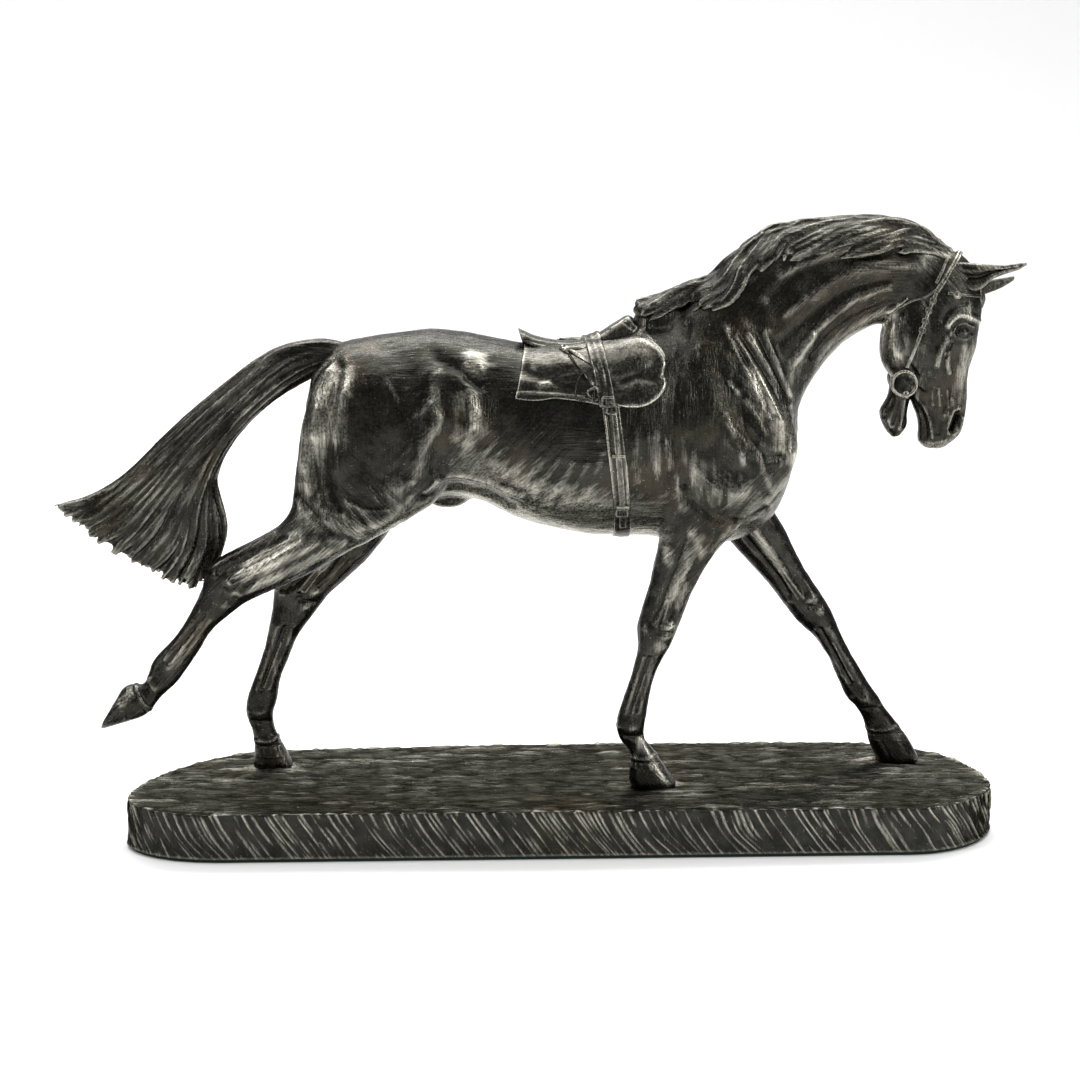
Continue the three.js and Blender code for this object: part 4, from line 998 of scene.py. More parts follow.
def cast_section(name, points, quads, base_normals, labels, finer):
    """One section of the cast horse: carved, brushed, and closed where it meets its neighbours."""
    mine = labels == name
    wide = mine.copy()
    for _ in range(HALO_RINGS):
        touched = np.zeros(len(points), bool)
        touched[quads[wide]] = True
        wide = touched[quads].any(axis=1)
    own = mine[wide]
    p, q, used = compact(points, quads[wide])
    n = base_normals[used]
    for _ in range(finer):
        both, q = halved(np.hstack([p, n]), q)
        p, n = both[:, :3], both[:, 3:]
        own = np.tile(own, 4)
    n = unit(n)
    lift, rub_and_highlight = carve_horse(p, n)
    flow = flow_weights(horse_flow(p))
    hairs = brushed(p, flow, 12, 2.0, 11)
    lift += 0.16 * hairs + 0.25 * noise(p / 7, 21) + 0.08 * noise(p / 2.5, 22)
    # Downward-facing surfaces above the legs are painted bright: a painted reflection of the pale floor.
    under = np.clip(-n[:, 2] - 0.25, 0, 1) * (p[:, 2] > 112)
    rub_and_highlight = rub_and_highlight * (0.75 + 0.6 * hairs) + 0.1 * np.maximum(hairs, 0) + 0.8 * under
    p = p + n * lift[:, None]
    edges = edges_of(q)
    proud = proudness(p, n, edges, 6 * 2**finer)
    # Proud places get more rubbed patina and painted highlight, grooves less.
    rub_and_highlight = rub_and_highlight + np.clip(0.9 * proud, -0.4, 0.3)
    tint = np.clip(0.9 * noise(p / 20, 31), 0, 1)
    n = normals_of(p, q)
    p, q, used = compact(p, q[own])
    rub_and_highlight, tint, flow, n = rub_and_highlight[used], tint[used], flow[used], n[used]
    CAST_MESHES.append((p, q))
    faces = list(q)
    for loop in open_loops(q):
        centre = p[loop].mean(axis=0)
        p = np.vstack([p, centre])
        n = np.vstack([n, n[loop].mean(axis=0)])
        rub_and_highlight, tint = np.append(rub_and_highlight, 0), np.append(tint, 0)
        flow = np.vstack([flow, flow[loop[0]]])
        for a, b in zip(loop, loop[1:] + loop[:1]):
            faces.append(np.array([a, b, len(p) - 1]))
    finished(name + "_cast", p, faces, HORSE_BRONZE, name, rub_and_highlight, flow, tint, n)


def joined_quads(parts):
    """Several (points, quads) meshes as one."""
    bases = np.cumsum([0] + [len(p) for p, _ in parts])
    quads = [q + base for (_, q), base in zip(parts, bases)]
    return np.concatenate([p for p, _ in parts]), np.concatenate(quads)


def mirrored(ribs):
    """Ribs of the same shape on the horse's right."""
    return [[x1, z1, x2, z2, w, -y] for x1, z1, x2, z2, w, y in ribs]


ROUNDING_START = -62  # the haunches narrow behind this X, towards the buttocks
ROUNDING_FOOT = 108  # and above this height
ROUNDING_REACH = 36  # over this far, each way
ROUNDING = 0.3  # by this share of their breadth at the most


def horse_skin():
    """The whole cast figure as one skin, before it is carved and cut into its sections."""
    parts = [
        loft(BARREL),
        loft(NECK),
        loft(SKULL, 2.3),
        ball([-43, 0, 133], [10, 6, 7]),
        ball([40, 0, 199], [11, 7.6, 8.6]),
        loft(mirrored(HAUNCH_HEIGHTS) + RIGHT_HIND, 2.4),
        loft(HAUNCH_HEIGHTS + LEFT_HIND, 2.4),
        loft(mirrored(SHOULDER_HEIGHTS) + RIGHT_FORE, 2.4),
        loft(SHOULDER_HEIGHTS + LEFT_FORE, 2.4),
    ]
    points, quads = fused(parts, SKIN_CELL)
    points = relaxed(spread(points, edges_of(quads), 0.5, 14), quads, 20)
    rearward = np.clip((ROUNDING_START - points[:, 0]) / ROUNDING_REACH, 0, 1)
    upward = np.clip((points[:, 2] - ROUNDING_FOOT) / ROUNDING_REACH, 0, 1)
    points[:, 1] *= 1 - ROUNDING * rearward**2 * upward**2 * (3 - 2 * upward)
    return points, quads, normals_of(points, quads)


CAST_MESHES = []
SKIN, SKIN_QUADS, SKIN_NORMALS = horse_skin()
LABELS = sections(SKIN[SKIN_QUADS].mean(axis=1))
for section, finer in (("torso", 0), ("neck", 0), ("head", 1), *((leg, 1) for leg in LEGS)):
    cast_section(section, SKIN, SKIN_QUADS, SKIN_NORMALS, LABELS, finer)

# ---------------------------------------------------------------- hair

# The tail's guide strands in the side view, from its upper edge to its inner edge, dock to tip.
TAIL_GUIDES = [
    [(-80, 189), (-92, 191.5), (-109, 188.3), (-129, 174.6),
     (-149, 157.6), (-168, 139.8), (-182, 132.3), (-196.5, 129)],
    [(-80, 188), (-91, 188.5), (-105, 184.5), (-123, 170.5),
     (-142, 154.5), (-160, 137), (-172, 127), (-185.5, 119.6)],
    [(-80, 187), (-90, 186), (-103, 181.5), (-120, 168),
     (-137, 151), (-151, 133.5), (-162, 120), (-174.5, 109.4)],
    [(-80, 186), (-90, 184.5), (-101, 180), (-118, 167.5),
     (-133, 150.5), (-144, 131.5), (-152, 115), (-163, 103.6)],
    [(-81, 184.5), (-90, 183), (-99.5, 179.4), (-116, 168),
     (-130.5, 152), (-139, 132), (-143, 112), (-151, 97)],
    [(-82, 183), (-90, 181.6), (-97, 179), (-115, 169),
     (-127.6, 155.5), (-133, 140), (-129, 119), (-138, 92.6)],
]
# At even steps from dock to tip: half the tail's thickness, and how far it swings to the horse's right.
TAIL_HALF_WIDTH = [4.5, 5.4, 6.4, 7.2, 7.6, 7.4, 6.0, 3.0]
TAIL_DRIFT = [0, 0, -0.5, -1.4, -2.8, -4.2, -5.2, -6]


def tail_point(u, v, t):
    """A point of the tail: u from upper to inner edge, v from its right side to its left, t along it."""
    guides = np.array([smooth_line(guide, 40) for guide in TAIL_GUIDES])
    place = u * (len(guides) - 1)
    low = np.minimum(place.astype(int), len(guides) - 2)
    share = (place - low)[:, None]
    step = np.clip(t * 39, 0, 39)
    i = np.minimum(step.astype(int), 38)
    f = (step - i)[:, None]
    one = guides[low, i] * (1 - f) + guides[low, i + 1] * f
    two = guides[low + 1, i] * (1 - f) + guides[low + 1, i + 1] * f
    xz = one * (1 - share) + two * share
    stations = np.linspace(0, 1, len(TAIL_DRIFT))
    y = np.interp(t, stations, TAIL_DRIFT) + v * np.interp(t, stations, TAIL_HALF_WIDTH)
    return np.column_stack([xz[:, 0], y, xz[:, 1]])


def tail_locks():
    """Three rows of locks laid over the tail's mass, thick ones first."""
    parts = []
    steps = 44
    t = np.linspace(0, 1, steps)
    rows = [(50, 1.9, 0.0, 0.84), (44, 1.15, 0.05, 0.95), (40, 0.8, 0.1, 1.0)]
    for count, size, start, out in rows:
        for k in range(count):
            phase = 2 * math.pi * (k + RANDOM.uniform(-0.3, 0.3)) / count
            first = start * RANDOM.uniform(0, 4)
            last = RANDOM.uniform(0.955, 0.99)
            along = first + (last - first) * t
            sway = 0.05 * np.sin(along * RANDOM.uniform(5, 9) + RANDOM.uniform(0, 6)) * along
            turn = phase + 2.2 * sway
            u = np.clip(0.5 - 0.5 * out * np.cos(turn), 0, 1)
            v = 0.84 * out * np.sin(turn)
            path = tail_point(u, v, along)
            width = size * RANDOM.uniform(0.75, 1.3)
            radii = width * (0.5 + 0.9 * np.sin(math.pi * np.clip(t * 0.9 + 0.05, 0, 1)))
            radii = radii * np.minimum(1, 7 * (1 - t) + 0.55)
            parts.append(tube(path, radii, sides=12, flute=0.16, flutes=4, turn=RANDOM.uniform(-3, 3)))
    return parts


def tail_core():
    """The mass under the locks."""
    count, sides = 30, 28
    angle = circle(sides)
    rings = []
    for t in np.linspace(0, 0.965, count):
        u = 0.5 - 0.44 * np.cos(angle)
        v = 0.74 * np.sin(angle)
        rings.append(tail_point(u, v, np.full(sides, t)))
    return np.concatenate(rings), ring_faces(count, sides)


def nearest_flow(p, lines):
    """The direction of the nearest of some lines, each a list of side-view points."""
    spots, headings = [], []
    for line in lines:
        line = smooth_line(line, 36)
        step = np.gradient(line, axis=0)
        spots.append(line)
        headings.append(np.arctan2(step[:, 1], step[:, 0]))
    spots, headings = np.concatenate(spots), np.concatenate(headings)
    out = np.empty(len(p))
    for start in range(0, len(p), 20000):
        part = p[start : start + 20000, [0, 2]]
        gap = ((part[:, None, :] - spots[None, :, :]) ** 2).sum(axis=2)
        out[start : start + 20000] = headings[gap.argmin(axis=1)]
    return out


def hair_piece(replaced, parts, cell, lines):
    """Locks fused into one skin, rubbed and painted with highlights on their ridges, in place of a CAD node.
    """
    p, q = fused(parts, cell)
    n = normals_of(p, q)
    flow = flow_weights(nearest_flow(p, lines))
    p = p + n * (0.12 * brushed(p, flow, 7, 1.1, 41))[:, None]
    edges = edges_of(q)
    n = normals_of(p, q)
    proud = proudness(p, n, edges, 14)
    rub_and_highlight = 0.05 + 1.5 * proud + 0.16 * noise(p / 9, 43)
    tint = np.clip(0.9 * noise(p / 16, 44), 0, 1)
    finished(replaced + "_hair", p, q, HAIR_BRONZE, replaced, rub_and_highlight, flow, tint)


# The mane's top edge in the side view, from the withers to the poll.
MANE_TOP = [
    (30.5, 207.6), (39.5, 210), (50.2, 214.2), (58, 216.4), (65.5, 223.6), (73.3, 229.8), (82, 235.4),
    (92, 237.4), (104, 238.6), (118, 239.4), (129, 238.8), (138, 236.2), (146, 231), (152.5, 226),
]
MANE_DEPTH = 13  # how far down the neck the hair lies
MANE_SINK = 0.9  # how far under the top edge the locks' middle lines start


def mane_point(s, depth):
    """A side-view point of the mane: s from the withers to the poll, depth below its top edge."""
    count = 160
    top = smooth_line(MANE_TOP, count)
    step = unit(np.gradient(top, axis=0))
    i = np.clip(s * (count - 1), 0, count - 1)
    x, z, step_x, step_z = [np.interp(i, np.arange(count), values) for values in (*top.T, *step.T)]
    depth = depth + MANE_SINK
    return x + step_z * depth, z - step_x * depth


def mane_locks(cast):
    """Locks that spring from the crest and are blown back along it, on both sides."""
    parts = [loft(MANE, grow=-1.2, sides=32)]
    steps = 26
    t = np.linspace(0, 1, steps)
    for side in (-1, 1):
        for layer, (count, size) in enumerate([(46, 1.7), (54, 1.2), (44, 0.85)]):
            for k in range(count):
                s0 = 0.10 + 0.93 * (k + RANDOM.uniform(-0.4, 0.4)) / count
                reach = RANDOM.uniform(0.16, 0.30)
                begin = RANDOM.uniform(-0.2, 2.5)
                sink = RANDOM.uniform(1.5, MANE_DEPTH - 2) if layer else RANDOM.uniform(5, MANE_DEPTH)
                s = np.clip(s0 - reach * t, 0.0, 1.0)
                depth = begin + sink * t**0.9 + 0.5 * np.sin(6 * t + RANDOM.uniform(0, 6))
                depth *= min(1, 0.42 + 0.95 * s0)
                x, z = mane_point(s, depth)
                y = np.array([cast.side_y(a, b, side) for a, b in zip(x, z)])
                y = np.where(np.isnan(y), side * 1.4, y)
                y = side * np.maximum(side * y, 1.2 + 0.22 * depth)
                y = np.convolve(np.pad(y, 4, mode="edge"), np.ones(9) / 9, mode="valid")
                y = y + side * (0.25 + 0.3 * layer * (1 - t))
                radii = size * RANDOM.uniform(0.75, 1.25)
                radii = radii * (0.35 + np.sin(math.pi * np.clip(0.1 + 0.75 * t, 0, 1)))
                radii = radii * np.minimum(1, 6 * (1 - t) + 0.15)
                path = np.column_stack([x, y, z])
                parts.append(tube(path, radii, sides=10, flute=0.18, flutes=3, turn=RANDOM.uniform(-2, 2)))
    for k in range(40):
        s0 = 0.06 + 0.92 * (k + RANDOM.uniform(-0.3, 0.3)) / 40
        s = np.clip(s0 - 0.12 * t, 0, 1)
        depth = 2.2 - 2.4 * np.sin(math.pi * 0.75 * t) + RANDOM.uniform(-0.3, 0.6)
        x, z = mane_point(s, depth)
        y = np.full(steps, RANDOM.uniform(-2.6, 2.6)) * (1 - 0.5 * t)
        radii = RANDOM.uniform(0.9, 1.4) * np.minimum(1, 5 * (1 - t) + 0.12)
        parts.append(tube(np.column_stack([x, y, z]), radii, sides=10, flute=0.18, flutes=3))
    return parts


class Cast:
    """The surface that tack and hair lie on."""

    def __init__(self, points, faces):
        corners = [tuple(int(i) for i in f) for f in faces]
        self.tree = BVHTree.FromPolygons([tuple(p) for p in points], corners)

    def side_y(self, x, z, side):
        """How far out the surface is on one side, or nan beside it."""
        hit = self.tree.ray_cast(Vector((x, side * 80, z)), Vector((0, -side, 0)))[0]
        return math.nan if hit is None else hit.y

    def ray(self, start, ahead):
        """Where a ray meets the surface."""
        hit = self.tree.ray_cast(Vector(start), Vector(ahead))
        return None if hit[0] is None else np.array(hit[0])


CAST = Cast(SKIN, SKIN_QUADS)
hair_piece("tail", [tail_core()] + tail_locks(), HAIR_CELL, TAIL_GUIDES)
mane_lines = []
for low_depth, high_depth in ((1, 3), (4, 8), (8, 12)):
    share = np.linspace(0, 1, 9)
    mane_lines.append(list(zip(*mane_point(share, np.linspace(high_depth, low_depth, 9)))))
hair_piece("mane", mane_locks(CAST), HAIR_CELL, mane_lines)


def forelock_locks():
    """Locks that fall over the forehead from between the ears."""
    parts = []
    steps = 20
    t = np.linspace(0, 1, steps)
    for k in range(9):
        side = (k - 4) / 4
        root = np.array([158.5, 1.5 * side, 219.5])
        knee = np.array([163.4 - abs(side), 3.6 * side, 213 + RANDOM.uniform(-1, 1)])
        tip_y = 5.4 * side + RANDOM.uniform(-0.5, 0.5)
        tip = np.array([164.4 - 1.6 * abs(side), tip_y, 203 + 2.6 * abs(side)])
        path = smooth_line([root, knee, (knee + tip) / 2 + [0.3, 0, 0.2], tip], steps)
        parts.append(tube(path, 1.15 * np.minimum(1, 4 * (1 - t) + 0.15), sides=10, flute=0.18, flutes=3))
    return parts


hair_piece("forelock", forelock_locks(), 0.35, [[(158, 220), (165, 212), (165, 203)]])

# ---------------------------------------------------------------- ears and jaw

RIGHT_EAR = [
    [147.8, 220.4, 149, 214.6, 1.8, -5],
    [152, 221.6, 153, 212, 2.8, -5.8],
    [157, 221.4, 158.4, 210.4, 3.2, -6.4],
    [161.5, 221, 162.2, 211.4, 3.1, -6.8],
    [166, 220.7, 166.4, 214.8, 2.6, -7.2],
    [171, 220.6, 171.6, 216.9, 1.9, -7.6],
    [176, 221.1, 176.6, 218.6, 1.2, -7.9],
    [179.3, 221.5, 179.5, 220.3, 0.5, -8],
]
LEFT_EAR = [
    [156, 213.4, 156, 206.8, 1.8, 5],
    [160, 213.6, 160, 206.8, 2.6, 6],
    [165, 213.2, 165, 207.6, 2.8, 6.6],
    [170, 213.9, 171, 209.6, 2.2, 7.2],
    [174.5, 214.6, 175.2, 211.6, 1.4, 7.7],
    [178, 215, 178.2, 213.4, 0.5, 8],
]
JAW_FORMS = [
    ([(131.5, 168), (130.5, 163), (129.4, 159)], 0.9, -0.5, 0),
    ([(134, 168), (133.4, 162), (132.4, 157)], 0.8, 0.4, 0.4),
    ([(127.5, 160), (129, 158)], 1.0, 0.3, 0.7),
    ([(126, 163)], 1.0, 0.2, 0.7),
    ([(134.8, 164), (134.6, 158)], 0.5, -0.4, 0),
]


def small_casting(replaced, ribs, forms):
    """An ear or the lower jaw, in place of its CAD node."""
    p, q = fused([loft(ribs, 2.1, sides=40, per_rib=8)], FINE_CELL)
    p = relaxed(p, q, 3)
    n = normals_of(p, q)
    lift, rub_and_highlight = np.zeros(len(p)), np.zeros(len(p))
    middle = ribs[0][5]
    sides = (np.sign(middle),) if middle else (-1, 1)
    for side in sides:
        carve(p, n, forms, -40, 40, side, lift, rub_and_highlight)
    flow = flow_weights(horse_flow(p))
    lift += 0.1 * brushed(p, flow, 6, 1.2, 12)
    p = p + n * lift[:, None]
    edges = edges_of(q)
    n = normals_of(p, q)
    proud = proudness(p, n, edges, 12)
    rub_and_highlight = rub_and_highlight + np.clip(1.6 * proud, -0.3, 0.45)
    tint = np.full(len(p), 0.2)
    finished(replaced + "_cast", p, q, HORSE_BRONZE, replaced, rub_and_highlight, flow, tint)


def ear_forms(ribs):
    """The hollow of an ear, and its rolled rim."""
    middle = [((r[0] + r[2]) / 2, (r[1] + r[3]) / 2) for r in ribs[1:]]
    rim = [(r[2], r[3] + 0.6) for r in ribs[1:]]
    top = [(r[0], r[1] - 0.6) for r in ribs[1:]]
    return [(middle[:-1], 2.2, -2.4, 0), (rim, 0.8, 0.35, 0.35), (top, 0.8, 0.35, 0.35)]


small_casting("right_ear", RIGHT_EAR, ear_forms(RIGHT_EAR))
small_casting("left_ear", LEFT_EAR, ear_forms(LEFT_EAR))
small_casting("lower_jaw", JAW, JAW_FORMS)

# ---------------------------------------------------------------- plinth

# The plinth's extremes in X, Y and Z, and the thickness of its wall.
PLINTH_REAR = -167.2
PLINTH_FRONT = 168.8
PLINTH_NEAR = -55.5
PLINTH_FAR = 56.5
PLINTH_FOOT = 1.3
PLINTH_TOP = 18.5
PLINTH_WALL = 5
PLINTH_CORNER = 38  # how far back from its ends the near side starts to turn
OUTLINE_STEP = 0.62
RIDGE_GAPS = (1.3, 4.2)  # the smallest and largest distance between two ridges of the side
RIDGE_WIDTH = 0.42
SIDE_HEIGHTS = 17
TOP_STEPS = 48
HOOF_PLACES = [(37, -18), (134, 20), (-112, 20)]


def bezier(points, count):
    """Points along a cubic curve, without its last."""
    t = np.linspace(0, 1, count, endpoint=False)[:, None]
    a, b, c, d = np.array(points, float)
    return (1 - t) ** 3 * a + 3 * (1 - t) ** 2 * t * b + 3 * (1 - t) * t**2 * c + t**3 * d


def plinth_outline(spacing):
    """The plinth's uneven oblong, in even steps, anticlockwise from above."""
    rear, front, near, far = PLINTH_REAR, PLINTH_FRONT, PLINTH_NEAR, PLINTH_FAR
    corner = PLINTH_CORNER
    rough = np.concatenate([
        bezier([(rear + corner, near), (-60, near), (60, near), (front - corner, near)], 60),
        bezier([(front - corner, near), (front - 15, near), (front, near + 24), (front, near + 42)], 60),
        bezier([(front, near + 42), (front, near + 82), (front - 20, far - 2), (front - 56, far - 1)], 60),
        bezier([(front - 56, far - 1), (60, far), (20, far), (-20, far)], 60),
        bezier([(-20, far), (-50, far - 3), (rear + 80, far - 4), (rear + 54, far - 6)], 60),
        bezier([(rear + 54, far - 6), (rear + 26, far - 9), (rear - 1, near + 56), (rear, near + 28)], 60),
        bezier([(rear, near + 28), (rear, near + 18), (rear + 12, near), (rear + corner, near)], 60),
    ])
    closed = np.vstack([rough, rough[:1]])
    gone = np.concatenate([[0], np.cumsum(np.linalg.norm(np.diff(closed, axis=0), axis=1))])
    count = int(gone[-1] / spacing)
    at = np.linspace(0, gone[-1], count, endpoint=False)
    return np.column_stack([np.interp(at, gone, closed[:, k]) for k in (0, 1)]), at


def turf(p):
    """The height of the modelled grass: wavy strokes that run along the plinth."""
    wave = p + np.column_stack([0 * p[:, 0], 1.6 * noise(p / 14, 50), 0 * p[:, 0]])
    broad = noise(wave / [26, 5.5, 9], 51)
    strokes = noise(wave / [11, 1.9, 9], 52)
    fine = noise(wave / [5, 1.1, 9], 53)
    mounds = sum(np.exp(-(((p[:, 0] - x) ** 2 + (p[:, 1] - y) ** 2) / 110)) for x, y in HOOF_PLACES)
    return 0.45 * broad + 0.55 * strokes + 0.3 * fine + 1.3 * mounds


def plinth_piece():
    """The plinth: an open shell with slanted ridges round its side and modelled grass on its top."""
    outline, gone = plinth_outline(OUTLINE_STEP)
    count = len(outline)
    ahead = unit(np.roll(outline, -1, axis=0) - np.roll(outline, 1, axis=0))
    out = np.column_stack([ahead[:, 1], -ahead[:, 0]])
    total = count * (gone[1] - gone[0])

    def slid(values, z):
        """Values round the outline moved along it, further the lower they are, as the ridges slant."""
        drop = PLINTH_TOP - z
        at = gone + 0.5 * drop + 0.012 * drop**2 + 1.5 * wander(gone / 16, 0, 60)
        at = at - 1.5 * wander(gone / 16, drop / 9, 60)
        return np.column_stack([np.interp(at % total, gone, values[:, k], period=total) for k in (0, 1)])

    middle = np.column_stack([np.clip(outline[:, 0], -118, 116), np.zeros(count)])
    rings, rub_and_highlight_rings = [], []

    def ring(xy, z, rub_and_highlight):
        """The next ring of the shell."""
        rings.append(np.column_stack([xy, np.broadcast_to(z, count)]))
        rub_and_highlight_rings.append(np.broadcast_to(rub_and_highlight, count))

    inner = slid(outline - PLINTH_WALL * out, PLINTH_FOOT)
    ring(inner, PLINTH_TOP - PLINTH_WALL, 0)
    ring(inner, PLINTH_FOOT, 0)
    ring(slid(outline - 0.8 * out, PLINTH_FOOT), PLINTH_FOOT, 0)
    ridge_at = np.cumsum(RANDOM.uniform(*RIDGE_GAPS, int(total / 2.8)))
    for h in np.linspace(0, 1, SIDE_HEIGHTS):
        z = PLINTH_FOOT + 0.2 + h * (PLINTH_TOP - PLINTH_FOOT - 0.4)
        strength = np.clip(0.6 + 0.9 * wander(ridge_at, z / 5, 61), 0, 1)
        apart = np.abs(gone[:, None] - ridge_at[None, :])
        ridge = (np.exp(-((apart / RIDGE_WIDTH) ** 2)) * strength).max(axis=1)
        lift = 0.9 * ridge - 0.5 + 0.35 * wander(gone / 4, z / 7, 62)
        rim = 0.35 if h < 0.05 else 0.0
        fade = min(1.0, h * 6)
        # The ridges are rubbed and painted with highlight, more towards the top, and the rim at the foot
        # most.
        rub_and_highlight = 1.1 * ridge * (0.55 + 0.45 * h) + 1.2 * rim
        ring(slid(outline, z) + (lift * fade + rim)[:, None] * slid(out, z), z, np.clip(rub_and_highlight, 0, 1))
    ragged = wander(gone / 2.0, 0, 63)
    for k in range(TOP_STEPS):
        share = ((k + 0.6) / TOP_STEPS) ** 1.15
        xy = outline * (1 - share) + middle * share
        flat = np.column_stack([xy, np.zeros(count)])
        high = turf(flat)
        edge = math.exp(-k / 1.6)
        z = PLINTH_TOP + high * (1 - 0.6 * edge) + 0.5 * ragged * edge - 0.1
        ring(xy, z, np.clip(0.03 + 0.3 * high + 0.9 * edge * (0.3 + 0.7 * ragged), 0, 1))
    p = np.concatenate(rings)
    rub_and_highlight = np.concatenate(rub_and_highlight_rings)
    faces = []
    ids = np.arange(count)
    after = (ids + 1) % count
    for i in range(len(rings) - 1):
        a, b = i * count, (i + 1) * count
        faces.extend(np.column_stack([a + ids, a + after, b + after, b + ids]))
    faces.append(np.arange(count)[::-1])
    last = (len(rings) - 1) * count
    faces.append(last + np.arange(count))
    flow = np.tile([1.0, 0, 0, 0], (len(p), 1))
    flow[p[:, 2] < PLINTH_TOP - 1.2] = [0, 0, 0.5, 0.5]
    tint = np.clip(0.5 * noise(p / 40, 64), 0, 1)
    finished("plinth_turf", p, faces, TURF_BRONZE, "plinth", rub_and_highlight, flow, tint)


plinth_piece()
steel = plain("brushed_steel", (0.45, 0.46, 0.47), 1.0, 0.3)
baize = plain("baize", (0.02, 0.045, 0.03), 0.0, 0.95, grain=0.5, depth=0.2)
for node_name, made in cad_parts.items():
    if node_name.startswith(("stud_", "washer_", "nut_")):
        finish = steel
    else:
        finish = baize if node_name == "baize_pad" else TACK_BRONZE
    made.data.materials.clear()
    made.data.materials.append(finish)

# ---------------------------------------------------------------- tack

LEATHER = 0.9  # how thick the cloth, flaps and straps are
AXIS_Z = 160  # the height of the line that belts round the barrel are aimed at


def smoothed_grid(grid, times=2):
    """A grid of points eased along both of its directions, its border along itself."""
    for _ in range(times):
        for axis in (0, 1):
            padded = np.concatenate([grid.take([0], axis), grid, grid.take([-1], axis)], axis)
            size = grid.shape[axis]
            before = padded.take(range(size), axis)
            after = padded.take(range(2, size + 2), axis)
            grid = 0.5 * grid + 0.25 * (before + after)
    return grid


def grid_normals(grid, outward):
    """Normals of a grid of points, turned to the outward direction."""
    n = np.cross(np.gradient(grid, axis=0), np.gradient(grid, axis=1))
    n /= np.maximum(np.linalg.norm(n, axis=2), 1e-9)[:, :, None]
    turned = np.sign((n * outward).sum(axis=2))
    return n * np.where(turned == 0, 1, turned)[:, :, None]


def layer(grid, normals, heights, sink=0.4):
    """A closed sheet that stands on a grid of surface points: (points, quads)."""
    rows, columns = grid.shape[:2]
    top = grid + normals * heights[:, :, None]
    under = grid - normals * sink
    points = np.concatenate([top.reshape(-1, 3), under.reshape(-1, 3)])
    ids = np.arange(rows * columns).reshape(rows, columns)
    low = ids + rows * columns
    quads = [
        np.stack([ids[:-1, :-1], ids[1:, :-1], ids[1:, 1:], ids[:-1, 1:]], axis=2).reshape(-1, 4),
        np.stack([low[:-1, :-1], low[:-1, 1:], low[1:, 1:], low[1:, :-1]], axis=2).reshape(-1, 4),
        np.stack([ids[:-1, 0], low[:-1, 0], low[1:, 0], ids[1:, 0]], axis=1),
        np.stack([ids[:-1, -1], ids[1:, -1], low[1:, -1], low[:-1, -1]], axis=1),
        np.stack([ids[0, :-1], ids[0, 1:], low[0, 1:], low[0, :-1]], axis=1),
        np.stack([ids[-1, :-1], low[-1, :-1], low[-1, 1:], ids[-1, 1:]], axis=1),
    ]
    quads = np.concatenate(quads)
    solid = (points[quads[:, 0]] * np.cross(points[quads[:, 1]], points[quads[:, 3]])).sum()
    return points, quads if solid > 0 else quads[:, ::-1]


def edge_profile(count, thick, sharp=7):
    """The height of a strap across its width: flat, and rounded over at its edges."""
    s = np.linspace(-1, 1, count)
    return thick * (1 - np.abs(s) ** sharp * 0.85)


def tack_piece(replaced, parts, forms=(), sides=(-1, 1), rub_and_highlight_base=0.12):
    """Parts in place of a node of tack, tooled with strokes, and rubbed and painted with highlights along
    their edges.
    """
    points, quads, base = [], [], 0
    for part_points, part_faces in parts:
        part_faces = [tuple(f) for f in part_faces]
        for face in part_faces:
            if len(face) <= 4:
                quads.append([base + face[min(k, len(face) - 1)] for k in range(4)])
            else:
                for k in range(1, len(face) - 1):
                    quads.append([base + face[0], base + face[k], base + face[k + 1], base + face[k + 1]])
        points.append(part_points)
        base += len(part_points)
    p, q = np.concatenate(points), np.array(quads)
    n = normals_of(p, q)
    lift, rub_and_highlight = np.zeros(len(p)), np.zeros(len(p))
    for side in sides:
        low, high = (-60, 0.5) if side < 0 else (-0.5, 60)
        carve(p, n, forms, low, high, side, lift, rub_and_highlight)
    p = p + n * lift[:, None]
    edges = edges_of(q)
    edges = edges[edges[:, 0] != edges[:, 1]]
    proud = proudness(p, n, edges, 5)
    rub_and_highlight = rub_and_highlight + rub_and_highlight_base + np.clip(1.5 * proud, -0.3, 0.6)
    faces = [f if f[2] != f[3] else f[:3] for f in q]
    flow = flow_weights(horse_flow(p))
    finished(replaced + "_cast", p, faces, TACK_BRONZE, replaced, rub_and_highlight, flow)


def along_z(line):
    """x as a function of height on a side-view line that runs downwards."""
    line = smooth_line(line, 40)
    order = np.argsort(line[:, 1])
    return lambda z: float(np.interp(z, line[order, 1], line[order, 0]))


def belt(cast, line, width, low_angle, high_angle, thick, lift=0.0, steps=120, across=11, extra=None):
    """A strap round the barrel that follows a side-view line, between two angles from the top, in degrees."""
    x_at = along_z(line)
    s = np.linspace(-0.5, 0.5, across)
    grid = np.zeros((steps, across, 3))
    for i, angle in enumerate(np.radians(np.linspace(low_angle, high_angle, steps))):
        out = np.array([0, math.sin(angle), math.cos(angle)])
        x = x_at(180)
        for _ in range(3):
            hit = cast.ray(np.array([x, 0, AXIS_Z]) + 90 * out, -out)
            x = x_at(hit[2])
        for j in range(across):
            grid[i, j] = cast.ray(np.array([x + s[j] * width, 0, AXIS_Z]) + 90 * out, -out)
    grid = smoothed_grid(grid, 4)
    normals = grid_normals(grid, grid - np.array([0, 0, AXIS_Z]) * [0, 1, 1] - grid * [1, 0, 0])
    heights = lift + np.tile(edge_profile(across, thick), (steps, 1))
    if extra is not None:
        heights = heights + extra(grid, s)
    return layer(grid, normals, heights)


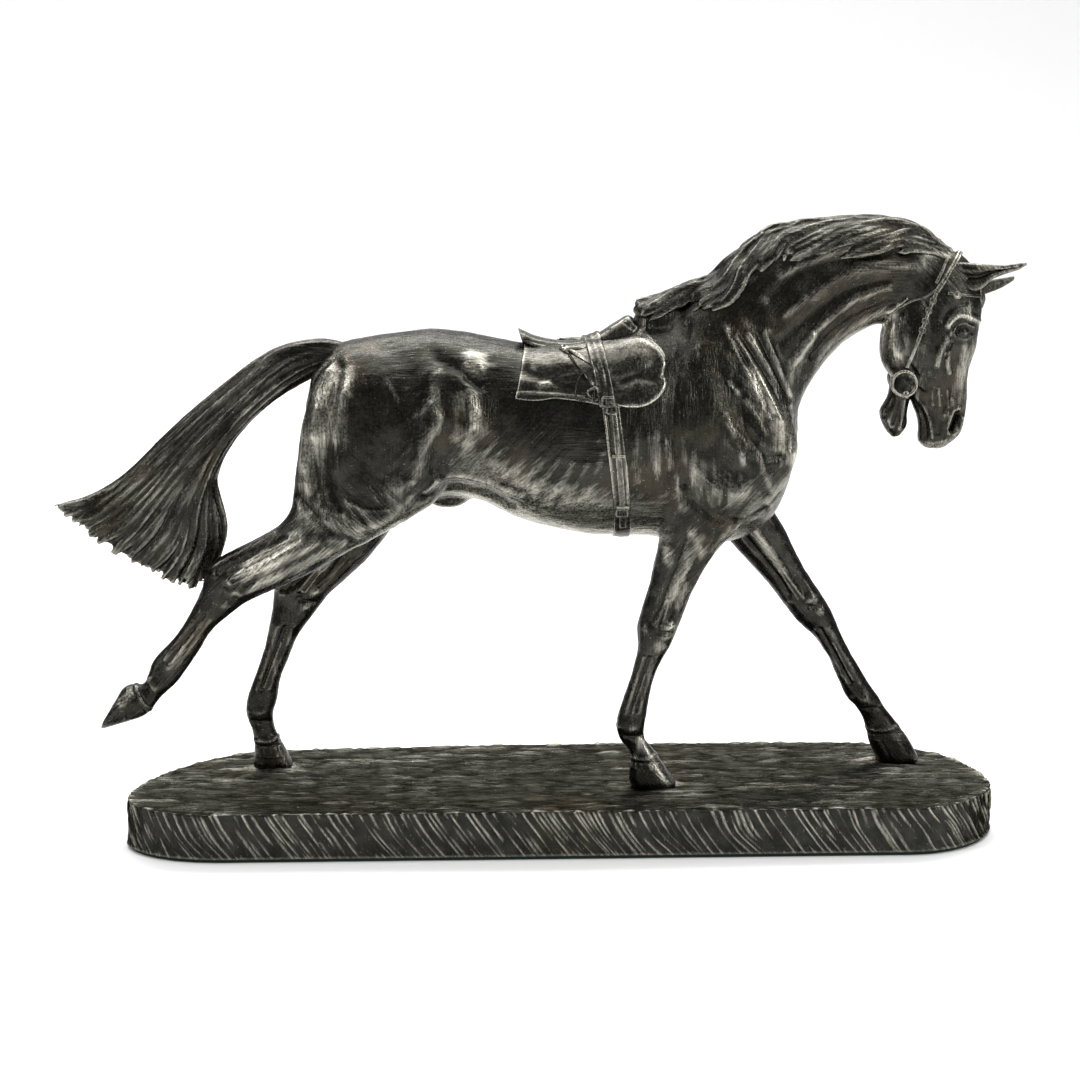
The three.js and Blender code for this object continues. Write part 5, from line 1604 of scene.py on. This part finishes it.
def side_strap(cast, line, width, side, thick, lift=0.0, spacing=0.5, across=7):
    """A strap laid along a side-view line on one side of the horse."""
    rough = smooth_line(line, 60)
    length = np.linalg.norm(np.diff(rough, axis=0), axis=1).sum()
    path = smooth_line(line, max(8, int(length / spacing)))
    ahead = unit(np.gradient(path, axis=0))
    s = np.linspace(-0.5, 0.5, across) * width
    grid = np.zeros((len(path), across, 3))
    for i, ((x, z), (dx, dz)) in enumerate(zip(path, ahead)):
        for j in range(across):
            qx, qz = x - dz * s[j], z + dx * s[j]
            y = cast.side_y(qx, qz, side)
            grid[i, j] = (qx, y, qz)
    missing = np.isnan(grid[:, :, 1])
    if missing.any():
        grid[:, :, 1][missing] = side * np.nanmin(np.abs(grid[:, :, 1]))
    grid = smoothed_grid(grid, 3)
    normals = grid_normals(grid, np.array([0, side, 0]))
    heights = lift + np.tile(edge_profile(across, thick), (len(path), 1))
    return layer(grid, normals, heights)


def patch(cast, outline, centre, side, thick, lift, rim=0.0, rings=26, spokes=120):
    """A panel on one side of the horse that fills a smooth side-view outline."""
    closed = smooth_line(list(outline) + [outline[0]], spokes + 1)[:-1]
    grid = np.zeros((spokes + 1, rings, 3))
    shares = np.linspace(0.02, 1, rings) ** 0.8
    for i in range(spokes + 1):
        for j, share in enumerate(shares):
            x, z = np.array(centre) + share * (closed[i % spokes] - centre)
            y = cast.side_y(x, z, side)
            grid[i, j] = (x, y, z)
    grid[:, :, 1] = np.where(np.isnan(grid[:, :, 1]), side * 20, grid[:, :, 1])
    grid[:, :, 1] = smoothed_grid(grid[:, :, 1:2], 4)[:, :, 0]
    grid[-1] = grid[0]
    normals = grid_normals(grid, np.array([0, side, 0]))
    normals[:, 0] = normals[:, 1].mean(axis=0) / np.linalg.norm(normals[:, 1].mean(axis=0))
    profile = lift + thick * (1 - 0.9 * shares**24) + rim * np.exp(-(((shares - 0.955) / 0.028) ** 2))
    heights = np.tile(profile, (spokes + 1, 1))
    return layer(grid, normals, heights)


def loop(path, radius, sides=8):
    """A closed ring of wire along a closed path."""
    path = np.asarray(path, float)
    ahead = unit(np.roll(path, -1, axis=0) - np.roll(path, 1, axis=0))
    side = np.tile([0.0, 1.0, 0.0], (len(path), 1))
    side = unit(side - ahead * (side * ahead).sum(axis=1)[:, None])
    up = np.cross(ahead, side)
    angle = circle(sides)
    round_it = side[:, None] * np.cos(angle)[None, :, None] + up[:, None] * np.sin(angle)[None, :, None]
    points = path[:, None] + radius * round_it
    faces = []
    for i in range(len(path)):
        a, b = i * sides, ((i + 1) % len(path)) * sides
        for j in range(sides):
            k = (j + 1) % sides
            faces.append((a + j, a + k, b + k, b + j))
    return points.reshape(-1, 3), faces


def buckle(cast, x, z, width, height, side, wire=0.45, lift=1.2, turn=0.0):
    """A small rectangular buckle that lies on the surface, with its tongue."""
    corners = []
    for k in range(24):
        angle = 2 * math.pi * k / 24
        a = math.copysign(abs(math.cos(angle)) ** 0.35, math.cos(angle)) * width / 2
        b = math.copysign(abs(math.sin(angle)) ** 0.35, math.sin(angle)) * height / 2
        corners.append((a * math.cos(turn) - b * math.sin(turn), a * math.sin(turn) + b * math.cos(turn)))
    y = cast.side_y(x, z, side)
    path = [(x + a, y + side * lift, z + b) for a, b in corners]
    tongue = np.array([
        (x, y + side * (lift + 0.3), z + height / 2),
        (x, y + side * (lift + 0.2), z - height / 2),
    ])
    return [loop(path, wire), tube(smooth_line(tongue, 4), np.full(4, 0.7 * wire), sides=8)]


CLOTH_BACK = [(-13.4, 200), (-13.6, 192.6), (-15.5, 185.4), (-17.4, 176.8), (-18.6, 172), (-18.8, 166)]
CLOTH_FRONT = [(30, 206), (31, 200), (34.6, 194.4), (38, 190), (39.2, 183), (37, 174.5), (31, 169), (29, 164)]
CLOTH_FOOT = [
    (-18.6, 173), (-14.5, 172.2), (-8.4, 171.7), (-2.3, 172.8), (1.5, 172.2), (8, 171.4), (14, 170.2),
    (22, 168.6), (31, 169.6), (38, 172),
]
CLOTH_FORMS = [
    ([(-16, 186), (-8, 184.6), (2, 186)], 2.0, 0.4, 0.06),
    ([(-16, 182), (-7, 181), (4, 183.4)], 1.6, -0.3, 0),
    ([(-17, 179.5), (-9, 178), (-3, 176.5)], 1.5, 0.35, 0.12),
    ([(-18.2, 174.6), (-10, 174.3), (-2, 173.8), (8, 172.7)], 0.6, 0.35, 0.7),
    # a painted highlight spot on the cloth
    ([(-8.4, 177), (-5, 177.9)], 1.0, 0.35, 1.6),
    ([(-14.2, 192), (-15.9, 184.5), (-18.6, 175)], 0.6, 0.35, 0.8),
]


def cloth_part(cast):
    """The saddle cloth, over the back from one hem to the other."""
    rows, columns = 150, 76
    back, front = along_z(CLOTH_BACK), along_z(CLOTH_FRONT)
    foot = smooth_line(CLOTH_FOOT, 60)
    grid = np.zeros((rows, columns, 3))
    for j, u in enumerate(np.linspace(0, 1, columns)):
        low_x = back(173) + u * (front(173) - back(173))
        hem = np.interp(low_x, foot[:, 0], foot[:, 1])
        for i, v in enumerate(np.linspace(-1, 1, rows)):
            reach = math.atan2(31.5, hem - AXIS_Z)
            angle = v * reach
            out = np.array([0, math.sin(angle), math.cos(angle)])
            z = 190 - 18 * abs(v)
            for _ in range(3):
                x = back(z) + u * (front(z) - back(z))
                hit = cast.ray(np.array([x, 0, AXIS_Z]) + 90 * out, -out)
                z = hit[2]
            grid[i, j] = hit
    grid = smoothed_grid(grid, 5)
    normals = grid_normals(grid, (grid - [0, 0, AXIS_Z]) * [0, 1, 1])
    flat = grid.reshape(-1, 3)
    wrinkles = 0.1 * noise(flat / [6, 3.6, 3.2], 71) + 0.06 * noise(flat / [2, 2, 2], 72)
    heights = LEATHER + wrinkles.reshape(rows, columns)
    heights[:, [0, -1]] -= 0.4
    heights[[0, -1], :] -= 0.4
    return layer(grid, normals, heights)


FLAP = [
    (-0.4, 190), (5.2, 184), (10.8, 178), (13.5, 173.4), (18, 170.4), (24, 168.9), (30.4, 169.1),
    (36.2, 172.2), (39, 175.6), (39.6, 178.2), (39, 180.6), (39.4, 183), (40, 186.4), (38.4, 189.6),
    (34.6, 192.6), (28, 192.6), (20, 191.4), (8, 190.8),
]
FLAP_CENTRE = (16, 181)
FLAP_FORMS = [
    ([(22.5, 178.4), (28, 180.2), (34, 179.4)], 2.2, -0.8, 0),
    ([(38, 180.4), (39.4, 180.5)], 0.6, -0.6, 0),
    ([(39.6, 178.4), (36.4, 173.8), (31.2, 170.3), (23.5, 169.9)], 0.7, 0.4, 1.1),
    ([(31, 193.2), (36, 190.3), (39, 185)], 0.6, 0.35, 0.8),
    ([(0.4, 189.4), (5.8, 183.6), (11.4, 177.8)], 0.6, 0.4, 1.2),
]

# Strokes on the seat, as on the body.
SEAT_FORMS = [
    ([(-13.6, 193), (-5, 190.9), (4, 190.2), (12, 191)], 0.8, -0.7, 0),
    ([(-13, 194.8), (-5, 192.8), (3, 192.1), (10, 193)], 0.5, 0.3, 0.35),
    ([(25, 199), (28.4, 196.6)], 0.7, -0.5, 0),
    ([(27.4, 194.4), (30, 197)], 0.6, 0.3, 0.7),
    ([(20, 196.6), (26.4, 200.4)], 0.7, 0.3, 0.6),
]


# The middle lines of the surcingle and the girth, and the stirrup iron's arch and tread, which have
# points of (x, z) and of (x, z, height above the saddle).
SURCINGLE = [[11.4, 204], [12.6, 193], [15.4, 180], [16.8, 171], [17.2, 166]]
GIRTH = [[17.4, 176], [18.4, 168], [20.6, 150], [22.6, 134], [24.4, 110]]
STIRRUP_ARCH = [
    (5.2, 172.8), (5.0, 175.5), (6.0, 179.2), (8.3, 182.4), (10.2, 179.4), (11.3, 175.8), (11.4, 172.6),
]
STIRRUP_TREAD = [(4.9, 172.7, 0.7), (8.2, 172.1, 0.8), (11.7, 172.6, 0.7)]


def lengthwise(depth, ridges):
    """Grooves that run along a strap."""
    return lambda grid, s: depth * np.cos(2 * math.pi * ridges * s)[None, :] * np.ones((len(grid), 1))


# The stuffed shape under the saddle, which its cloth and flaps hang over.
SADDLE_BODY = [
    [-17, 188, -17, 162, 22, 0],
    [-8, 189.6, -8, 160, 25.5, 0],
    [6, 190, 6, 160, 27, 0],
    [20, 192, 20, 160, 27, 0],
    [32, 194.6, 32, 161, 25.5, 0],
    [40, 193, 40, 164, 22, 0],
]
body_cast = Cast(*joined_quads(CAST_MESHES))
stuffing = fused([loft(SADDLE_BODY, 2.5)], 1.0)
padded_cast = Cast(*joined_quads([*CAST_MESHES, stuffing]))
cloth_mesh = cloth_part(padded_cast)
tack_piece("saddle_cloth", [cloth_mesh], CLOTH_FORMS)

seat_p, seat_q = fused([loft(SEAT, 2.7, sides=64, per_rib=8)], 0.45)
seat_p = relaxed(seat_p, seat_q, 4)
tack_piece("saddle_seat", [(seat_p, seat_q)], SEAT_FORMS)
flaps = {}
for word, side in (("right", -1), ("left", 1)):
    flaps[word] = patch(padded_cast, FLAP, FLAP_CENTRE, side, LEATHER, 1.1, rim=0.2)
    tack_piece(f"{word}_saddle_flap", [flaps[word]], FLAP_FORMS, (side,))

saddled = Cast(*joined_quads([*CAST_MESHES, cloth_mesh, (seat_p, seat_q), *flaps.values()]))
surcingle = belt(saddled, SURCINGLE, 7.2, -74, 74, LEATHER, lift=0.1, across=19, extra=lengthwise(0.12, 3))
tack_piece("surcingle", [surcingle], [
    ([(9, 195), (10.9, 184), (12.9, 174)], 0.5, 0.25, 0.3),
    ([(15.9, 195), (18.5, 183.6), (20.2, 174.4)], 0.5, 0.25, 0.35),
])
girth = belt(body_cast, GIRTH, 7.4, 71, 289, LEATHER, across=15, steps=170, extra=lengthwise(0.12, 2))
tack_piece("girth", [girth], [
    ([(22.2, 170), (24, 152), (24.6, 138), (25, 122)], 0.5, 0.3, 0.7),
    ([(14.6, 171), (16.2, 162), (17.6, 150), (19.2, 134)], 0.5, 0.25, 0.5),
    ([(17, 168), (18.6, 152)], 0.8, -0.6, 0),
])
girthed = Cast(*joined_quads([*CAST_MESHES, girth]))
for word, side in (("right", -1), ("left", 1)):
    strap = side_strap(girthed, [[19.4, 168], [21, 150], [22.6, 134], [23.6, 122]], 3.2, side, 0.9, 0.1)
    buckled = [
        strap,
        *buckle(girthed, 18.4, 168.4, 3.6, 2.8, side),
        *buckle(saddled, 12, 174, 4, 4.6, side, 0.5, 0.9, turn=0.5),
        *buckle(saddled, 17, 171.4, 4.4, 3.4, side, 0.55, 1.6),
        *buckle(girthed, 22.8, 128.2, 4.2, 2.4, side),
    ]
    fold = ([(19.7, 167), (20.8, 158), (21.2, 150)], 0.5, 0.25, 0.7)
    tack_piece(f"{word}_girth_strap", buckled, [fold], (side,))
    for level, x, z in (("upper", 20.8, 151), ("lower", 23.0, 131)):
        keeper = side_strap(girthed, [[x - 2.6, z + 0.1], [x, z], [x + 2.6, z - 0.1]], 1.6, side, 0.8, 0.9)
        tack_piece(f"{word}_girth_{level}_keeper", [keeper], (), (side,), 0.35)

    def on_saddle(x, z, lift):
        """A point that far above the saddle, on this side."""
        return (x, saddled.side_y(x, z, side) + side * lift, z)

    arch_path = smooth_line([on_saddle(x, z, 0.5) for x, z in STIRRUP_ARCH], 40)
    tread = smooth_line([on_saddle(*place) for place in STIRRUP_TREAD], 12)
    strap = side_strap(saddled, [[8.3, 182.2], [6, 184.4], [2.6, 188]], 1.0, side, 0.45)
    iron = [tube(arch_path, np.full(40, 0.45), sides=10), tube(tread, np.full(12, 0.7), sides=10), strap]
    tack_piece(f"{word}_stirrup_iron", iron, (), (side,), 0.2)

# ---------------------------------------------------------------- bridle

# Where the bridle's metalwork lies, and its straps' middle lines, in the side view.
ROSETTE_AT = (152.7, 209.2)
RING_AT = (132.9, 175.2)
RING_RADIUS = 4.7
RING_Y = 10.4
BIT_AT = (134.2, 170.6)
CROWN_LINE = [[155.4, 225.2], [150.6, 219.6], [147.2, 214.4], [144.6, 210.4]]
CHEEK_LINE = [[144.6, 210.4], [140.6, 200], [138, 193], [133.8, 180.8]]
THROAT_LINE = [[144.6, 211.4], [140.4, 208.6], [134.4, 206.6], [129, 203], [124.4, 198]]


def forehead_band(cast):
    """The browband, from one rosette round the forehead to the other."""
    steps, across = 90, 7
    grid = np.zeros((steps, across, 3))
    for i, angle in enumerate(np.radians(np.linspace(-98, 98, steps))):
        out = np.array([math.cos(angle), math.sin(angle), 0])
        for j, s in enumerate(np.linspace(-0.8, 0.8, across)):
            z = 209.5
            for _ in range(3):
                hit = cast.ray(np.array([150, 0, z + s]) + 50 * out, -out)
                z = 209.6 - 0.12 * (hit[0] - 152)
            grid[i, j] = hit
    grid = smoothed_grid(grid, 4)
    normals = grid_normals(grid, (grid - [150, 0, 0]) * [1, 1, 0])
    heights = 0.15 + np.tile(edge_profile(across, 0.7), (steps, 1))
    return layer(grid, normals, heights)


def stud(cast, x, z, side, radius, height):
    """A domed round stud with a raised rim."""
    y = cast.side_y(x, z, side)
    profile = [(0.0, height), (0.5, 0.96 * height), (0.72, 0.6 * height)]
    profile += [(0.86, 0.85 * height), (1.0, 0.5 * height), (1.0, -1)]
    sides = 24
    angle = circle(sides)
    rings = []
    for share, out in profile[::-1]:
        r = max(share, 0.02) * radius
        level = np.full(sides, y + side * out)
        rings.append(np.column_stack([x + r * np.cos(angle), level, z + r * np.sin(angle)]))
    return np.concatenate(rings), ring_faces(len(rings), sides)


tack_piece("browband", [forehead_band(body_cast)], rub_and_highlight_base=0.05)
for word, side in (("right", -1), ("left", 1)):
    crown = side_strap(body_cast, CROWN_LINE, 2.4, side, 0.7, 0.1)
    second = side_strap(body_cast, [[149.4, 223.4], [146.6, 218], [144.4, 213.6]], 1.5, side, 0.7, 0.3)
    seam = ([(155, 225), (150.8, 220), (147, 214.6)], 0.4, -0.3, 0)
    tack_piece(f"{word}_headpiece", [crown, second], [seam], (side,), 0.3)
    cheek = side_strap(body_cast, CHEEK_LINE, 1.9, side, 0.7, 0.15)
    squares = []
    for x, z in ((143.2, 207.2), (141.6, 203.4), (140.2, 199.4), (139, 196)):
        squares.extend(buckle(body_cast, x, z, 2.3, 1.7, side, 0.26, 0.8, turn=-0.35))
    tack_piece(f"{word}_cheekpiece", [cheek, *squares], (), (side,), 0.3)
    throat = side_strap(body_cast, THROAT_LINE, 1.1, side, 0.6)
    tack_piece(f"{word}_throatlatch", [throat], (), (side,), 0.25)
    rosette = stud(body_cast, *ROSETTE_AT, side, 1.5, 1.3)
    tack_piece(f"{word}_rosette", [rosette], (), (side,), 0.45)
    turns = circle(40)
    ring_path = np.column_stack([
        RING_AT[0] + (1.8 if side > 0 else 0) + RING_RADIUS * np.cos(turns),
        np.full(40, side * RING_Y),
        RING_AT[1] + RING_RADIUS * np.sin(turns),
    ])
    joint = ball((133.8, side * (RING_Y - 0.4), 170.9), (1.5, 1.1, 1.6))
    tack_piece(f"{word}_bit_ring", [loop(ring_path, 0.72, 12), joint], (), (side,), 0.45)
bit_path = np.array([(BIT_AT[0], y, BIT_AT[1]) for y in np.linspace(-RING_Y, RING_Y, 12)])
tack_piece("bit_mouthpiece", [tube(bit_path, np.full(12, 0.9), sides=12)], (), (), 0.3)

# ---------------------------------------------------------------- studio

# Lengths from here on are metres, and angles are degrees.
SWEEP_FRONT = -3.0
SWEEP_BACK = 2.6
SWEEP_BEND = 0.8
SWEEP_TOP = 3.2
SWEEP_HALF = 4.0
AIM = Vector((-0.0072, 0.0, 0.1134))
CAMERA_TURN = -2.5
CAMERA_TILT = 9.5
CAMERA_DISTANCE = 1.2
CAMERA_SPAN = 0.4212  # how much of the object's plane the picture spans, in metres
SENSOR_WIDTH = 36  # in millimetres, as the camera's lens is
WORLD_LIGHT = 0.2
# name, place, size, power
LIGHTS = [
    ("top", (0.1, 0.4, 1.5), (2.4, 1.8), 34),
    ("front_strip", (0.9, -0.9, 0.75), (0.25, 0.8), 6),
    ("rear_strip", (-1.0, -0.5, 0.9), (0.25, 0.8), 5),
    ("sweep_light", (0.0, 1.6, 2.2), (3.0, 0.8), 60),
]


def sweep():
    """A pale sweep of floor and wall."""
    start = SWEEP_BACK - SWEEP_BEND
    profile = [(SWEEP_FRONT, 0.0), (start, 0.0)]
    for turn in np.linspace(0, math.pi / 2, 12):
        profile.append((start + SWEEP_BEND * math.sin(turn), SWEEP_BEND - SWEEP_BEND * math.cos(turn)))
    profile.append((SWEEP_BACK, SWEEP_TOP))
    points = [(x, y, z) for y, z in profile for x in (-SWEEP_HALF, SWEEP_HALF)]
    faces = [(2 * i, 2 * i + 1, 2 * i + 3, 2 * i + 2) for i in range(len(profile) - 1)]
    mesh = bpy.data.meshes.new("sweep")
    mesh.from_pydata(points, [], faces)
    mesh.polygons.foreach_set("use_smooth", np.ones(len(faces), bool))
    pale = bpy.data.materials.new("pale_sweep")
    pale.use_nodes = True
    shader = pale.node_tree.nodes["Principled BSDF"]
    shader.inputs["Base Color"].default_value = (0.93, 0.93, 0.93, 1)
    shader.inputs["Roughness"].default_value = 0.9
    mesh.materials.append(pale)
    floor = bpy.data.objects.new("sweep", mesh)
    bpy.context.scene.collection.objects.link(floor)


def studio_lights():
    """A dim white world and soft panels that point at the horse."""
    world = bpy.data.worlds.new("studio")
    world.use_nodes = True
    background = world.node_tree.nodes["Background"]
    background.inputs["Color"].default_value = (1, 1, 1, 1)
    background.inputs["Strength"].default_value = WORLD_LIGHT
    bpy.context.scene.world = world
    for name, at, size, power in LIGHTS:
        light = bpy.data.lights.new(name, "AREA")
        light.shape = "RECTANGLE"
        light.size, light.size_y = size
        light.energy = power
        lamp = bpy.data.objects.new(name, light)
        lamp.location = at
        lamp.rotation_euler = (AIM - Vector(at)).to_track_quat("-Z", "Y").to_euler()
        bpy.context.scene.collection.objects.link(lamp)


def studio_camera():
    """The camera, level with the picture and aimed at the middle of the object."""
    turn, tilt = math.radians(CAMERA_TURN), math.radians(CAMERA_TILT)
    away = Vector((math.sin(turn) * math.cos(tilt), -math.cos(turn) * math.cos(tilt), math.sin(tilt)))
    camera = bpy.data.cameras.new("camera")
    camera.sensor_width = SENSOR_WIDTH
    camera.lens = SENSOR_WIDTH * CAMERA_DISTANCE / CAMERA_SPAN
    camera.clip_end = 50
    eye = bpy.data.objects.new("camera", camera)
    eye.location = AIM + away * CAMERA_DISTANCE
    eye.rotation_euler = (-away).to_track_quat("-Z", "Y").to_euler()
    bpy.context.scene.collection.objects.link(eye)
    bpy.context.scene.camera = eye
    bpy.context.scene.view_settings.view_transform = "Standard"


sweep()
studio_lights()
studio_camera()
